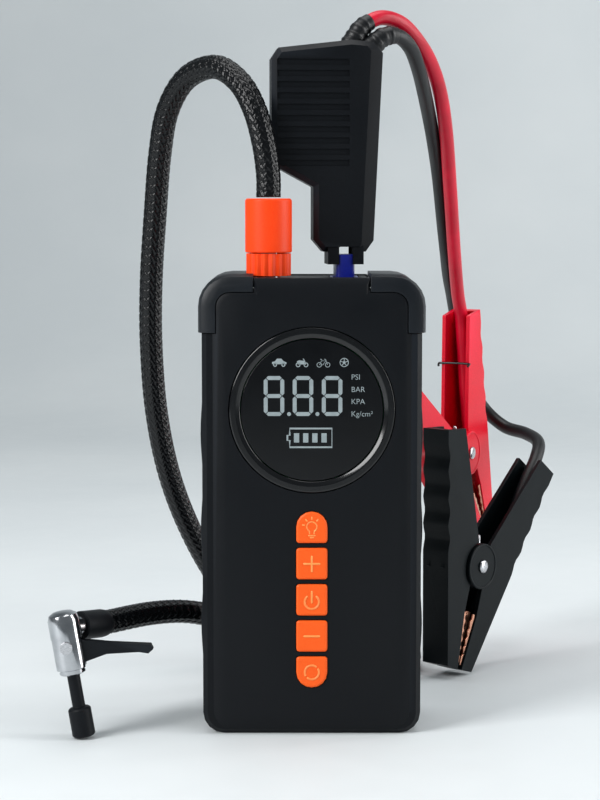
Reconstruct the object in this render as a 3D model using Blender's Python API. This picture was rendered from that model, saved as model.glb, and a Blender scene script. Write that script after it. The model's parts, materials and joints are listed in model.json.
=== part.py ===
"""Jump starter pack with a tyre inflator hose and a lead of jumper clamps.

Metres, +Z up. The pack stands on z = 0 with its display facing -Y and +X to its right.
"""

import math

import bmesh
import bpy
from mathutils import Matrix, Vector

MM = 0.001
GAP = 0.3 * MM
TO_BACK = (0, 1, 0)
TO_FRONT = (0, -1, 0)

# Pack body
BODY_WIDTH = 92.5 * MM
BODY_HEIGHT = 194.0 * MM
BODY_DEPTH = 50.0 * MM
TOP_RADIUS = 12.0 * MM
BOTTOM_RADIUS = 9.0 * MM
BAND_Y = -23.4 * MM
INSIDE_Y = -20.8 * MM
WALL = 2.6 * MM
BODY_MIDDLE = BODY_HEIGHT / 2
HALF_WIDTH = BODY_WIDTH / 2
HALF_DEPTH = BODY_DEPTH / 2

# Corner guards, side grips and the panel between the guards
GUARD_PROUD = 1.5 * MM
GUARD_DEEP = 1.2 * MM
GUARD_REACH = 23.0 * MM
GUARD_END_X = 24.6 * MM
GRIP_LOW, GRIP_HIGH = 25.0 * MM, 148.0 * MM
GRIP_HALF_DEPTH = 12.0 * MM
PANEL_SIZE = (47.4 * MM, 39.0 * MM)
PANEL_Y = 2.5 * MM
PANEL_TOP = 193.4 * MM
PORT_Y = -12.0 * MM
PANEL_THICK = 2.5 * MM

# Display and buttons
DISPLAY_Z = 138.6 * MM
LAMP_Z = 160.0 * MM
BEZEL_RADIUS = 34.9 * MM
GLASS_RADIUS = 29.9 * MM
BUTTON_NAMES = ("light", "plus", "power", "minus", "mode")
BUTTON_WIDTH = 13.7 * MM
BUTTON_HEIGHT = 13.3 * MM
BUTTON_PITCH = 15.5 * MM
BUTTON_MIDDLE_Z = 58.2 * MM

# Screws that hold the two shells together
SCREW_X = 36.0 * MM
SCREW_Z = (14.0 * MM, 176.0 * MM)

# Compressor: the crank turns about X, and the piston moves along Z under the hose
HOSE_X, HOSE_Y = -18.35 * MM, -5.5 * MM
PUMP_Y = -3.0 * MM
CRANK_Z = 133.0 * MM
CRANK_TEETH, PINION_TEETH = 24, 8
GEAR_MODULE = 1.0 * MM
CRANK_THROW = 6.0 * MM
GEAR_X = (-8.0 * MM, -4.0 * MM)

# Clamp module, plugged into the top panel
PLUG_X, PLUG_Y = 14.0 * MM, 11.5 * MM
MODULE_YAW = math.radians(5)
MODULE_HALF = 8.5 * MM
GROOVES = 10
GROOVE_LOW = 240.8 * MM
GROOVE_PITCH = 4.75 * MM
GROOVE_HEIGHT = 2.6 * MM
GROOVE_DEPTH = 0.8 * MM

# Clamps: pivot, turn about Z and lean of the clamp's own axis
CLAMP_THICK = 15.0 * MM
CLAMP_WALL = 2.0 * MM
EAR_RADIUS = 11.0 * MM
BLACK_CLAMP = (Vector((75.7, 98.9, 51.6)) * MM, math.radians(49), math.radians(18.5))
RED_CLAMP = (Vector((73.0, 149.2, 100.0)) * MM, math.radians(62), math.radians(-29))

# Air hose and the chuck that it ends in
HOSE_RADIUS = 5.25 * MM
CHUCK_FOOT = Vector((-96.2, -30.0, 1.0)) * MM
CHUCK_LEAN = math.radians(9.5)
FERRULE_HEIGHT = 47.5 * MM
FERRULE_DIRECTION = Vector((0.664, 0.745, -0.07)).normalized()
CABLE_RADIUS = 3.25 * MM

HOSE_ROUTE = (
    (-18.35, -5.5, 227.5), (-18.45, -5.5, 237.0), (-20.2, -5.4, 250.0), (-24.2, -3.0, 264.5),
    (-31.0, 4.5, 276.5), (-41.5, 16.0, 283.5), (-54.5, 29.0, 279.5), (-63.5, 38.5, 266.0),
    (-67.5, 44.0, 247.0), (-70.0, 49.0, 222.0), (-72.5, 54.0, 190.0), (-73.0, 58.0, 160.0),
    (-71.0, 63.0, 128.0), (-65.5, 70.0, 98.0), (-56.0, 80.0, 70.0), (-43.5, 95.0, 44.0),
    (-28.0, 112.0, 22.0), (-10.0, 128.0, 8.5), (10.0, 138.0, 5.6), (31.0, 137.0, 5.5),
    (46.0, 122.0, 5.5), (48.0, 101.0, 5.5), (37.0, 83.0, 5.5), (19.0, 72.0, 6.5),
    (0.0, 63.5, 12.0), (-20.0, 53.0, 24.0), (-38.0, 40.0, 36.0), (-54.0, 25.5, 43.0),
    (-70.0, 8.5, 45.8), (-88.4, -12.0, 45.9),
)
RED_ROUTE = (
    (15.5, 11.5, 290.3), (18.5, 12.2, 295.4), (22.2, 13.8, 300.6), (29.8, 18.0, 304.6),
    (38.8, 24.5, 302.8), (46.5, 33.0, 296.0), (53.0, 44.0, 287.0), (58.2, 58.0, 275.0),
    (62.3, 75.0, 257.0), (66.3, 100.0, 229.0), (70.0, 124.0, 201.0), (73.2, 143.0, 180.5),
    (75.8, 153.0, 168.5), (76.9, 156.5, 157.0), (77.8, 158.5, 145.0), (78.7, 160.0, 132.0),
    (79.4, 161.3, 124.5), (80.1, 162.6, 117.0), (80.9, 164.0, 108.5),
)
BLACK_ROUTE = (
    (23.0, 12.3, 289.7), (27.0, 12.6, 293.2), (31.8, 14.0, 296.4), (38.0, 18.0, 296.4),
    (43.2, 25.0, 292.0), (46.8, 35.0, 285.0), (50.0, 48.0, 276.5), (54.5, 70.0, 262.5),
    (57.5, 84.0, 251.0), (60.8, 101.0, 236.0), (64.3, 121.0, 215.0), (66.8, 135.0, 201.0),
    (69.0, 149.0, 189.5), (72.0, 163.0, 178.0), (75.0, 174.0, 164.5), (78.0, 181.5, 149.0),
    (82.0, 186.0, 133.5), (90.0, 187.0, 119.0), (100.5, 181.5, 109.5), (110.5, 170.0, 107.0),
    (115.5, 157.0, 104.0), (113.2, 145.2, 97.5), (107.6, 136.3, 87.5), (102.2, 129.6, 75.6),
    (97.2, 123.8, 65.0),
)


def clear_scene():
    for obj in list(bpy.data.objects):
        bpy.data.objects.remove(obj)


def make_material(name, colour, roughness, metallic=0.0):
    material = bpy.data.materials.new(name)
    material.use_nodes = True
    shader = material.node_tree.nodes["Principled BSDF"]
    shader.inputs["Base Color"].default_value = (*colour, 1)
    shader.inputs["Roughness"].default_value = roughness
    shader.inputs["Metallic"].default_value = metallic
    return material


def finish_object(obj, finish, smooth=True):
    obj.data.materials.append(make_material(obj.name, *finish))
    if smooth:
        obj.data.shade_smooth()
        obj.data.set_sharp_from_angle(angle=math.radians(35))
    return obj


# Finishes: colour, roughness, metallic
BLACK_PLASTIC = ((0.012, 0.014, 0.018), 0.55, 0.0)
BLACK_RUBBER = ((0.015, 0.018, 0.022), 0.7, 0.0)
GLOSS_BLACK = ((0.004, 0.004, 0.005), 0.12, 0.0)
ORANGE = ((1.0, 0.11, 0.015), 0.45, 0.0)
RED_PLASTIC = ((0.75, 0.004, 0.03), 0.35, 0.0)
BLUE_PLASTIC = ((0.005, 0.01, 0.4), 0.3, 0.0)
GREEN_BOARD = ((0.01, 0.12, 0.04), 0.5, 0.0)
SILVER_FOIL = ((0.6, 0.62, 0.65), 0.4, 1.0)
STEEL = ((0.65, 0.65, 0.67), 0.25, 1.0)
CHROME = ((0.8, 0.8, 0.82), 0.1, 1.0)
COPPER = ((0.9, 0.42, 0.25), 0.25, 1.0)
ALUMINIUM = ((0.6, 0.6, 0.62), 0.35, 1.0)
CLEAR_PLASTIC = ((0.85, 0.88, 0.9), 0.2, 0.0)


def ring_stack(name, rings, looped=False):
    """A solid whose surface runs over rings of equally many points.

    The first and last rings are capped, or joined to each other when looped is set.
    """
    mesh = bmesh.new()
    rows = [[mesh.verts.new(point) for point in ring] for ring in rings]
    pairs = list(zip(rows, rows[1:]))
    if looped:
        pairs.append((rows[-1], rows[0]))
    else:
        mesh.faces.new(rows[0])
        mesh.faces.new(rows[-1])
    for low, high in pairs:
        for i in range(len(low)):
            j = (i + 1) % len(low)
            mesh.faces.new((low[i], low[j], high[j], high[i]))
    bmesh.ops.recalc_face_normals(mesh, faces=mesh.faces)
    data = bpy.data.meshes.new(name)
    mesh.to_mesh(data)
    mesh.free()
    obj = bpy.data.objects.new(name, data)
    bpy.context.scene.collection.objects.link(obj)
    return obj


def rounded_outline(width, height, radii, steps=4):
    """Points of a rectangle centred on 0, its corners rounded from top right anticlockwise."""
    corners = ((1, 1, 0), (-1, 1, 90), (-1, -1, 180), (1, -1, 270))
    points = []
    for (side, rise, start), radius in zip(corners, radii):
        centre = Vector((side * (width / 2 - radius), rise * (height / 2 - radius)))
        for step in range(steps + 1):
            angle = math.radians(start + 90 * step / steps)
            points.append(centre + radius * Vector((math.cos(angle), math.sin(angle))))
    return points


def inset_outline(outline, distances):
    """The outline with each edge moved inwards; distances has one value for each edge."""
    count = len(outline)
    moved = []
    for i in range(count):
        before, here, after = outline[i - 1], outline[i], outline[(i + 1) % count]
        first, second = (here - before).normalized(), (after - here).normalized()
        inward_first = Vector((-first.y, first.x)) * distances[i - 1]
        inward_second = Vector((-second.y, second.x)) * distances[i]
        cross = first.x * second.y - first.y * second.x
        if abs(cross) < 1e-6:
            moved.append(here + inward_first)
            continue
        step = inward_second - inward_first
        along = (step.x * second.y - step.y * second.x) / cross
        moved.append(here + inward_first + first * along)
    return moved


def front_ring(outline, y, centre=(0, 0)):
    return [(point.x + centre[0], y, point.y + centre[1]) for point in outline]


def top_ring(outline, z, centre=(0, 0)):
    return [(point.x + centre[0], point.y + centre[1], z) for point in outline]


def front_block(name, outline, y_range, centre=(0, 0)):
    return ring_stack(name, [front_ring(outline, y, centre) for y in y_range])


def top_block(name, outline, z_range, centre=(0, 0)):
    return ring_stack(name, [top_ring(outline, z, centre) for z in z_range])


def box(name, low, high):
    size = Vector(high) - Vector(low)
    middle = (Vector(high) + Vector(low)) / 2
    half_x, half_y = size.x / 2, size.y / 2
    signs = ((1, 1), (-1, 1), (-1, -1), (1, -1))
    corners = [Vector((x * half_x, y * half_y)) for x, y in signs]
    return top_block(name, corners, (low[2], high[2]), (middle.x, middle.y))


def turned(name, profile, looped=False, segments=24):
    """A solid turned about Z from (radius, height) points."""
    rings = []
    for radius, height in profile:
        turn = [math.tau * i / segments for i in range(segments)]
        rings.append([(radius * math.cos(a), radius * math.sin(a), height) for a in turn])
    return ring_stack(name, rings, looped)


def place(obj, location, direction=(0, 0, 1)):
    """Moves the object so that its origin is at location and its +Z runs along direction."""
    turn = Vector((0, 0, 1)).rotation_difference(Vector(direction)).to_matrix().to_4x4()
    obj.matrix_world = Matrix.Translation(Vector(location)) @ turn
    return obj


def rod(name, radius, reach, where, direction=(0, 0, 1), segments=24):
    """A cylinder that reaches between two distances from a point, along a direction."""
    low, high = reach
    return place(turned(name, [(radius, low), (radius, high)], segments=segments), where, direction)


def in_mm(pairs):
    """Pairs of lengths in millimetres, as metres."""
    return [(a * MM, b * MM) for a, b in pairs]


def combine(target, helper, operation="DIFFERENCE"):
    helper.hide_render = True
    helper.display_type = "WIRE"
    modifier = target.modifiers.new(helper.name, "BOOLEAN")
    modifier.operation = operation
    modifier.solver = "EXACT"
    modifier.object = helper
    return target


def set_origin(obj, point):
    """Moves an unrotated object's origin to a point without moving its surface."""
    obj.data.transform(Matrix.Translation(-Vector(point)))
    obj.location = point
    return obj


# ---------------------------------------------------------------- pack body


def body_outline(inset):
    radii = (TOP_RADIUS - inset, TOP_RADIUS - inset, BOTTOM_RADIUS - inset, BOTTOM_RADIUS - inset)
    return rounded_outline(BODY_WIDTH - 2 * inset, BODY_HEIGHT - 2 * inset, radii)


def raised_panel_outline(inset):
    """The front panel, which steps up to the top edge between the two corner guards."""
    side = HALF_WIDTH - 4.6 * MM - inset
    shoulder = BODY_HEIGHT - 3.7 * MM - inset
    top = BODY_HEIGHT - 0.1 * MM - 0.8 * inset
    low = 2.2 * MM + inset
    step = GUARD_END_X - 0.4 * MM - 0.4 * inset
    corner = 8.0 * MM - 0.5 * inset
    right = []
    for centre, start in (((side - corner, low + corner), -90), ((side - corner, shoulder - corner), 0)):
        for i in range(5):
            angle = math.radians(start + 22.5 * i)
            right.append(Vector(centre) + corner * Vector((math.cos(angle), math.sin(angle))))
    right += [Vector((step, shoulder)), Vector((step, top))]
    return right + [Vector((-p.x, p.y)) for p in reversed(right)]


def shell_half(name, sign, outside_y, edge_y):
    """One hollow half of the casing, open at the parting plane."""
    inner = INSIDE_Y if sign < 0 else HALF_DEPTH - WALL
    centre = (0, BODY_MIDDLE)
    rings = [
        front_ring(body_outline(WALL), inner, centre),
        front_ring(body_outline(WALL), sign * GAP / 2, centre),
        front_ring(body_outline(0), sign * GAP / 2, centre),
        front_ring(body_outline(0), edge_y, centre),
        front_ring(body_outline(2.0 * MM), outside_y, centre),
    ]
    return ring_stack(name, rings)


def guard_path(extra):
    """Points and outward directions along the right-hand top corner of the body."""
    centre = Vector((HALF_WIDTH - TOP_RADIUS, BODY_HEIGHT - TOP_RADIUS))
    path = [(Vector((HALF_WIDTH, BODY_HEIGHT - GUARD_REACH - extra)), Vector((1, 0)))]
    for i in range(7):
        outward = Vector((math.cos(math.radians(15 * i)), math.sin(math.radians(15 * i))))
        path.append((centre + outward * TOP_RADIUS, outward))
    path.append((Vector((GUARD_END_X - extra, BODY_HEIGHT)), Vector((0, 1))))
    return path


def guard_section(clearance):
    """The guard's U-shaped section: (height above the body, y), wrapping front and back."""
    proud = GUARD_PROUD + (3 * MM if clearance else 0)
    front, lip = (-24.4 * MM, -22.4 * MM + clearance)
    reach = 5.9 * MM + clearance
    outer = [(-reach, front), (-2.2 * MM, front), (proud - 1.0 * MM, -23.0 * MM), (proud, -20.5 * MM)]
    inner = [(-GUARD_DEEP - clearance, -19.0 * MM + clearance), (-reach, lip)]
    if clearance:
        outer = [(-reach, front - 3 * MM), (proud, front - 3 * MM)]
    mirrored = [(height, -y) for height, y in reversed(outer)]
    mirrored_inner = [(height, -y) for height, y in reversed(inner)]
    return outer + mirrored + mirrored_inner + inner


def swept_guard(name, side, clearance):
    rings = []
    for point, outward in guard_path(clearance):
        ring = []
        for height, y in guard_section(clearance):
            spot = point + outward * height
            ring.append((side * spot.x, y, spot.y))
        rings.append(ring)
    return ring_stack(name, rings)


def nut_clearance():
    return rod("nut_clearance", 10.2 * MM, (0, 8 * MM), (HOSE_X, HOSE_Y, PANEL_TOP))


def make_guards(nut_space):
    for name, side in (("left", -1), ("right", 1)):
        guard = swept_guard(name + "_corner_guard", side, 0)
        if side < 0:
            combine(guard, nut_space)
        finish_object(guard, BLACK_RUBBER)


def grip_outline(side, clearance):
    """A strip along the side: straight inside, with shallow waves outside."""
    inner = HALF_WIDTH - 1.2 * MM - clearance
    low = GRIP_LOW - clearance
    high = GRIP_HIGH + clearance
    steps = 30
    points = []
    for i in range(steps + 1):
        share = i / steps
        wave = 0.45 * MM * (1 - math.cos(3 * math.tau * share))
        out = HALF_WIDTH + 0.2 * MM + wave + (3 * MM if clearance else 0)
        points.append(Vector((side * out, low + share * (high - low))))
    points += [Vector((side * inner, high)), Vector((side * inner, low))]
    return points


def make_side_grips(shells):
    for name, side in (("left", -1), ("right", 1)):
        cutter = front_block(name + "_grip_recess", grip_outline(side, GAP), (-12.3 * MM, 12.3 * MM))
        for shell in shells:
            combine(shell, cutter)
        reach = (-GRIP_HALF_DEPTH, GRIP_HALF_DEPTH)
        finish_object(front_block(name + "_side_grip", grip_outline(side, 0), reach), BLACK_RUBBER)


def screw_spots():
    return [(side * SCREW_X, z) for z in SCREW_Z for side in (-1, 1)]


def add_screws(front, rear):
    """Bosses in both shells, and the screws that run through them."""
    for i, (x, z) in enumerate(screw_spots(), 1):
        post = rod(f"front_post_{i}", 3.6 * MM, (-21.5 * MM, -1.5 * MM), (x, 0, z), TO_BACK, 12)
        combine(front, post, "UNION")
        sleeve = rod(f"rear_post_{i}", 4.2 * MM, (1.5 * MM, 23.5 * MM), (x, 0, z), TO_BACK, 12)
        combine(rear, sleeve, "UNION")
    for i, (x, z) in enumerate(screw_spots(), 1):
        hole = [(1.8 * MM, -12 * MM), (1.8 * MM, 21.5 * MM), (3.5 * MM, 21.5 * MM), (3.5 * MM, 30 * MM)]
        bore = place(turned(f"screw_bore_{i}", hole, segments=12), (x, 0, z), TO_BACK)
        combine(front, bore)
        combine(rear, bore)
        shape = [(1.5 * MM, -11 * MM), (1.5 * MM, 22 * MM), (3.1 * MM, 22 * MM), (3.1 * MM, 24 * MM)]
        screw = place(turned(f"case_screw_{i}", shape, segments=12), (x, 0, z), TO_BACK)
        finish_object(screw, STEEL)


def make_casing(nut_space):
    front = shell_half("front_shell", -1, BAND_Y, BAND_Y + 2 * MM)
    rear = shell_half("rear_shell", 1, HALF_DEPTH, HALF_DEPTH - 2.5 * MM)
    panel_inset = 3.3 * MM
    panel = ring_stack("raised_panel", [
        front_ring(raised_panel_outline(0), BAND_Y + 1 * MM),
        front_ring(raised_panel_outline(0), BAND_Y - 0.1 * MM),
        front_ring(raised_panel_outline(panel_inset), -HALF_DEPTH),
    ])
    combine(front, panel, "UNION")
    add_screws(front, rear)
    for name, side in (("left", -1), ("right", 1)):
        recess = swept_guard(name + "_guard_recess", side, GAP)
        combine(front, recess)
        combine(rear, recess)
    make_side_grips((front, rear))
    width, depth = PANEL_SIZE
    opening = rounded_outline(width + 2 * GAP, depth + 2 * GAP, (2 * MM,) * 4, 2)
    mouth = top_block("panel_opening", opening, (180 * MM, 200 * MM), (0, PANEL_Y))
    display = rod("display_opening", BEZEL_RADIUS + GAP, (-28 * MM, -18 * MM), (0, 0, DISPLAY_Z), TO_BACK, 40)
    for shell in (front, rear):
        combine(shell, mouth)
        combine(shell, nut_space)
    combine(front, display)
    for index in range(len(BUTTON_NAMES)):
        hole = button_outline(index, GAP)
        centre = (0, button_height(index))
        combine(front, front_block(f"button_hole_{index}", hole, (-28 * MM, -15 * MM), centre))
    lamp_hole = rounded_outline(18.6 * MM, 10.6 * MM, (5.2 * MM,) * 4, 3)
    rings = [[(x, p.x, p.y + LAMP_Z) for p in lamp_hole] for x in (40 * MM, 50 * MM)]
    window = ring_stack("lamp_window", rings)
    combine(front, window)
    combine(rear, window)
    finish_object(front, BLACK_PLASTIC)
    finish_object(rear, BLACK_PLASTIC)


def make_lamp_lens():
    lens = rounded_outline(18 * MM, 10 * MM, (4.9 * MM,) * 4, 3)
    domed = inset_outline(lens, [1 * MM] * len(lens))
    rings = [[(x, p.x, p.y + LAMP_Z) for p in outline] for x, outline in (
        (44.2 * MM, lens), (46.4 * MM, lens), (47.0 * MM, domed))]
    finish_object(ring_stack("lamp_lens", rings), CLEAR_PLASTIC)


# ------------------------------------------------------- display and buttons


def make_display():
    bezel_profile = [(34.9, 20.9), (34.9, 24.6), (34.4, 25.2), (31.9, 25.2), (30.2, 24.3), (30.2, 20.9)]
    scaled = [(radius * MM, height * MM) for radius, height in bezel_profile]
    bezel = turned("display_bezel", scaled, looped=True, segments=40)
    finish_object(place(bezel, (0, 0, DISPLAY_Z), TO_FRONT), GLOSS_BLACK)
    lens = turned("display_lens", [(GLASS_RADIUS, 22.7 * MM), (GLASS_RADIUS, 24.1 * MM)], segments=40)
    finish_object(place(lens, (0, 0, DISPLAY_Z), TO_FRONT), GLOSS_BLACK)
    screen = rounded_outline(44 * MM, 38 * MM, (1.5 * MM,) * 4, 2)
    module = front_block("display_module", screen, (-22.4 * MM, -18.7 * MM), (0, DISPLAY_Z))
    finish_object(module, GREEN_BOARD)


def button_height(index):
    return BUTTON_MIDDLE_Z + (2 - index) * BUTTON_PITCH


def button_outline(index, grow):
    """The top button has a domed top, the last one a rounded bottom."""
    small, large = 1.3 * MM, 6.5 * MM
    top = large if index == 0 else small
    bottom = large if index == len(BUTTON_NAMES) - 1 else small
    radii = [radius + grow for radius in (top, top, bottom, bottom)]
    return rounded_outline(BUTTON_WIDTH - 0.6 * MM + 2 * grow, BUTTON_HEIGHT + 2 * grow, radii)


def make_buttons():
    for index, name in enumerate(BUTTON_NAMES):
        outline = button_outline(index, 0)
        count = len(outline)
        centre = (0, button_height(index))
        crown = inset_outline(outline, [0.7 * MM] * count)
        flange = [point * 1.05 for point in outline]
        button = ring_stack("button_" + name, [
            front_ring(flange, -19.6 * MM, centre),
            front_ring(flange, -20.5 * MM, centre),
            front_ring(outline, -20.5 * MM, centre),
            front_ring(outline, -25.5 * MM, centre),
            front_ring(crown, -26.0 * MM, centre),
        ])
        set_origin(button, (0, -25 * MM, centre[1]))
        finish_object(button, ORANGE)


# -------------------------------------------------- top panel and electronics


def make_top_panel():
    width, depth = PANEL_SIZE
    plate = rounded_outline(width, depth, (1.8 * MM,) * 4, 2)
    panel = top_block("top_panel", plate, (PANEL_TOP - PANEL_THICK, PANEL_TOP), (0, PANEL_Y))
    socket_hole = rounded_outline(12.8 * MM, 20.8 * MM, (1.2 * MM,) * 4, 1)
    combine(panel, top_block("socket_hole", socket_hole, (180 * MM, 200 * MM), (PLUG_X, PLUG_Y)))
    for name, x, size in (("usb_a", 14 * MM, (14.4, 6.6)), ("usb_c", -2 * MM, (10.4, 4.8))):
        slot = rounded_outline((size[0] + 0.6) * MM, (size[1] + 0.6) * MM, (1.2 * MM,) * 4, 2)
        combine(panel, top_block(name + "_hole", slot, (180 * MM, 200 * MM), (x, PORT_Y)))
        frame = rounded_outline(size[0] * MM, size[1] * MM, (1.0 * MM,) * 4, 2)
        port = top_block(name + "_port", frame, (182 * MM, PANEL_TOP), (x, PORT_Y))
        mouth = rounded_outline((size[0] - 1.8) * MM, (size[1] - 1.8) * MM, (0.8 * MM,) * 4, 2)
        combine(port, top_block(name + "_mouth", mouth, (184 * MM, 200 * MM), (x, PORT_Y)))
        finish_object(port, STEEL)
    outlet_hole = rod("outlet_hole", 5.3 * MM, (-10 * MM, 10 * MM), (HOSE_X, HOSE_Y, PANEL_TOP))
    combine(panel, outlet_hole)
    finish_object(panel, BLACK_PLASTIC)


def make_socket():
    centre = (PLUG_X, PLUG_Y)
    block = rounded_outline(12.2 * MM, 20.2 * MM, (1.0 * MM,) * 4, 1)
    socket = top_block("ec5_socket", block, (176 * MM, PANEL_TOP), centre)
    cavity = rounded_outline(9.2 * MM, 17.2 * MM, (2.0 * MM,) * 4, 2)
    combine(socket, top_block("socket_cavity", cavity, (178.5 * MM, 200 * MM), centre))
    finish_object(socket, BLUE_PLASTIC)


def make_air_outlet():
    outlet = turned("air_outlet", [(value[0] * MM, value[1] * MM) for value in (
        (2.0, -6.5), (5.0, -6.5), (5.0, 0.8), (5.0, 14.0), (2.0, 14.0))], looped=True, segments=16)
    finish_object(place(outlet, (HOSE_X, HOSE_Y, PANEL_TOP)), CHROME)


def make_electronics():
    board = box("main_board", (-31 * MM, -18.2 * MM, 12 * MM), (31 * MM, -17 * MM, 172 * MM))
    finish_object(board, GREEN_BOARD, smooth=False)
    for i, y in enumerate((-15 * MM, 3 * MM), 1):
        cell = rounded_outline(60 * MM, 86 * MM, (3 * MM,) * 4, 2)
        slim = inset_outline(cell, [2 * MM] * len(cell))
        rings = [front_ring(slim, y, (0, 55 * MM)), front_ring(cell, y + 3 * MM, (0, 55 * MM)),
                 front_ring(cell, y + 14 * MM, (0, 55 * MM)), front_ring(slim, y + 17 * MM, (0, 55 * MM))]
        finish_object(ring_stack(f"battery_cell_{i}", rings), SILVER_FOIL)


# ------------------------------------------------------------------ compressor


def gear_outline(teeth, phase):
    """Trapezoid teeth with plenty of backlash, as points round the origin."""
    pitch_radius = teeth * GEAR_MODULE / 2
    root, tip = pitch_radius - 1.15 * GEAR_MODULE, pitch_radius + 0.75 * GEAR_MODULE
    points = []
    for tooth in range(teeth):
        for share, radius in ((-0.22, root), (-0.09, tip), (0.09, tip), (0.22, root)):
            angle = phase + math.tau * (tooth + share) / teeth
            points.append(Vector((math.cos(angle), math.sin(angle))) * radius)
    return points


def side_rings(outline, xs):
    return [[(x, point.x, point.y) for point in outline] for x in xs]


def circle(radius, steps):
    angles = [math.tau * i / steps for i in range(steps)]
    return [Vector((math.cos(angle), math.sin(angle))) * radius for angle in angles]


def side_block(name, outline, xs):
    return ring_stack(name, side_rings(outline, xs))


def make_gears():
    """The crank gear's tooth points down at the pinion, which has a tooth gap there."""
    crank = side_block("crank_gear", gear_outline(CRANK_TEETH, -math.pi / 2), GEAR_X)
    pin_outline = [point + Vector((0, -CRANK_THROW)) for point in circle(1.5 * MM, 12)]
    pin = side_block("crank_pin", pin_outline, (-14 * MM, -6 * MM))
    combine(crank, pin, "UNION")
    combine(crank, side_block("crank_shaft", circle(1.6 * MM, 12), (-6 * MM, 1.5 * MM)), "UNION")
    crank.location = (0, PUMP_Y, CRANK_Z)
    pin.parent = crank
    bpy.data.objects["crank_shaft"].parent = crank
    finish_object(crank, STEEL)
    half_tooth = math.pi / PINION_TEETH
    pinion = side_block("motor_pinion", gear_outline(PINION_TEETH, math.pi / 2 + half_tooth), GEAR_X)
    shaft = side_block("pinion_shaft", circle(1.1 * MM, 12), (-5 * MM, 2 * MM))
    combine(pinion, shaft, "UNION")
    pinion.location = (0, PUMP_Y, motor_z())
    shaft.parent = pinion
    finish_object(pinion, STEEL)


def motor_z():
    return CRANK_Z - (CRANK_TEETH + PINION_TEETH) * GEAR_MODULE / 2


def make_compressor():
    bracket_outline = [Vector(p) * MM for p in ((9, -13), (9, 50), (-9, 50), (-9, -13))]
    bracket = side_block("pump_bracket", bracket_outline, (-3 * MM, -1 * MM))
    bracket.location = (0, PUMP_Y, motor_z())
    for name, radius, z in (("motor_hole", 2.0, motor_z()), ("crank_hole", 2.2, CRANK_Z)):
        hole = side_block(name, circle(radius * MM, 12), (-6 * MM, 3 * MM))
        hole.location = (0, PUMP_Y, z)
        combine(bracket, hole)
    finish_object(bracket, ALUMINIUM, smooth=False)
    motor = side_block("motor", circle(11 * MM, 24), (-0.6 * MM, 30 * MM))
    motor.location = (0, PUMP_Y, motor_z())
    socket = side_block("motor_shaft_space", circle(2.0 * MM, 12), (-2 * MM, 6 * MM))
    socket.location = (0, PUMP_Y, motor_z())
    combine(motor, socket)
    finish_object(motor, STEEL)
    cylinder_profile = [(6.9, 158), (9.0, 158), (9.0, 184.5), (2.5, 184.5), (2.5, 182.5), (6.9, 182.5)]
    cylinder = turned("pump_cylinder", [(r * MM, z * MM) for r, z in cylinder_profile], looped=True)
    cylinder.location = (HOSE_X, PUMP_Y, 0)
    finish_object(cylinder, ALUMINIUM)
    make_piston()


def make_piston():
    """The rod's eye is level with the crank pin at bottom dead centre."""
    eye_z = CRANK_Z - CRANK_THROW
    piston = turned("piston_rod", [(6.6 * MM, 34 * MM), (6.6 * MM, 40 * MM)], segments=20)
    rod = box("rod_bar", (-1.6 * MM, -2.2 * MM, 2 * MM), (1.6 * MM, 2.2 * MM, 35 * MM))
    eye = side_block("rod_eye", circle(3.4 * MM, 12), (-1.6 * MM, 1.6 * MM))
    bore = side_block("rod_eye_bore", circle(1.9 * MM, 12), (-4 * MM, 4 * MM))
    combine(piston, rod, "UNION")
    combine(piston, eye, "UNION")
    combine(piston, bore)
    for obj in (rod, eye, bore):
        obj.parent = piston
    piston.location = (HOSE_X, PUMP_Y, eye_z)
    finish_object(piston, ALUMINIUM)


# --------------------------------------------------------------- clamp module


def module_outline():
    """The pistol-shaped module, anticlockwise from its lower left, about the plug's axis."""
    points = ((-9.6, 204.2), (8.8, 204.2), (12.2, 209.0), (16.0, 288.8), (12.0, 293.5), (2.3, 294.4),
              (-28.8, 290.9), (-31.8, 286.4), (-31.8, 241.6), (-13.9, 231.9), (-13.9, 209.3))
    return [Vector(point) * MM for point in points]


def module_edge_insets(wide):
    """The right-hand side has the widest chamfer, and the corners at its two ends follow it."""
    insets = [2.2 * MM] * len(module_outline())
    insets[1:4] = [0.65 * wide, wide, 0.65 * wide]
    return insets


def module_half(name, sign):
    outline = module_outline()
    wide = (5.4 if sign < 0 else 3.0) * MM
    face = inset_outline(outline, module_edge_insets(wide))
    inside = inset_outline(outline, [WALL] * len(outline))
    rings = [front_ring(inside, sign * (MODULE_HALF - WALL)), front_ring(inside, sign * GAP / 2),
             front_ring(outline, sign * GAP / 2), front_ring(outline, sign * (MODULE_HALF - 2.4 * MM)),
             front_ring(face, sign * MODULE_HALF)]
    half = ring_stack(name, rings)
    span = sorted((sign * GAP / 2, sign * 8.2 * MM))
    neck = box(name + "_neck", (-7.7 * MM, span[0], 198.8 * MM), (7.7 * MM, span[1], 206.5 * MM))
    combine(half, neck, "UNION")
    plug_space = rounded_outline(8.8 * MM, 16.8 * MM, (2.0 * MM,) * 4, 2)
    opening = top_block(name + "_plug_space", plug_space, (190 * MM, 212 * MM))
    combine(half, opening)
    return half, [neck, opening]


def cut_cable_holes(shells):
    """Slanting holes that the two cables leave the module's top through."""
    for name, route in (("red", RED_ROUTE), ("black", BLACK_ROUTE)):
        start, out = Vector(route[0]) * MM, Vector(route[1]) * MM
        hole = turned(name + "_cable_hole", [(3.7 * MM, -1 * MM), (3.7 * MM, 12 * MM)], segments=16)
        place(hole, start, (out - start).normalized())
        for shell in shells:
            combine(shell, hole)


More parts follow.
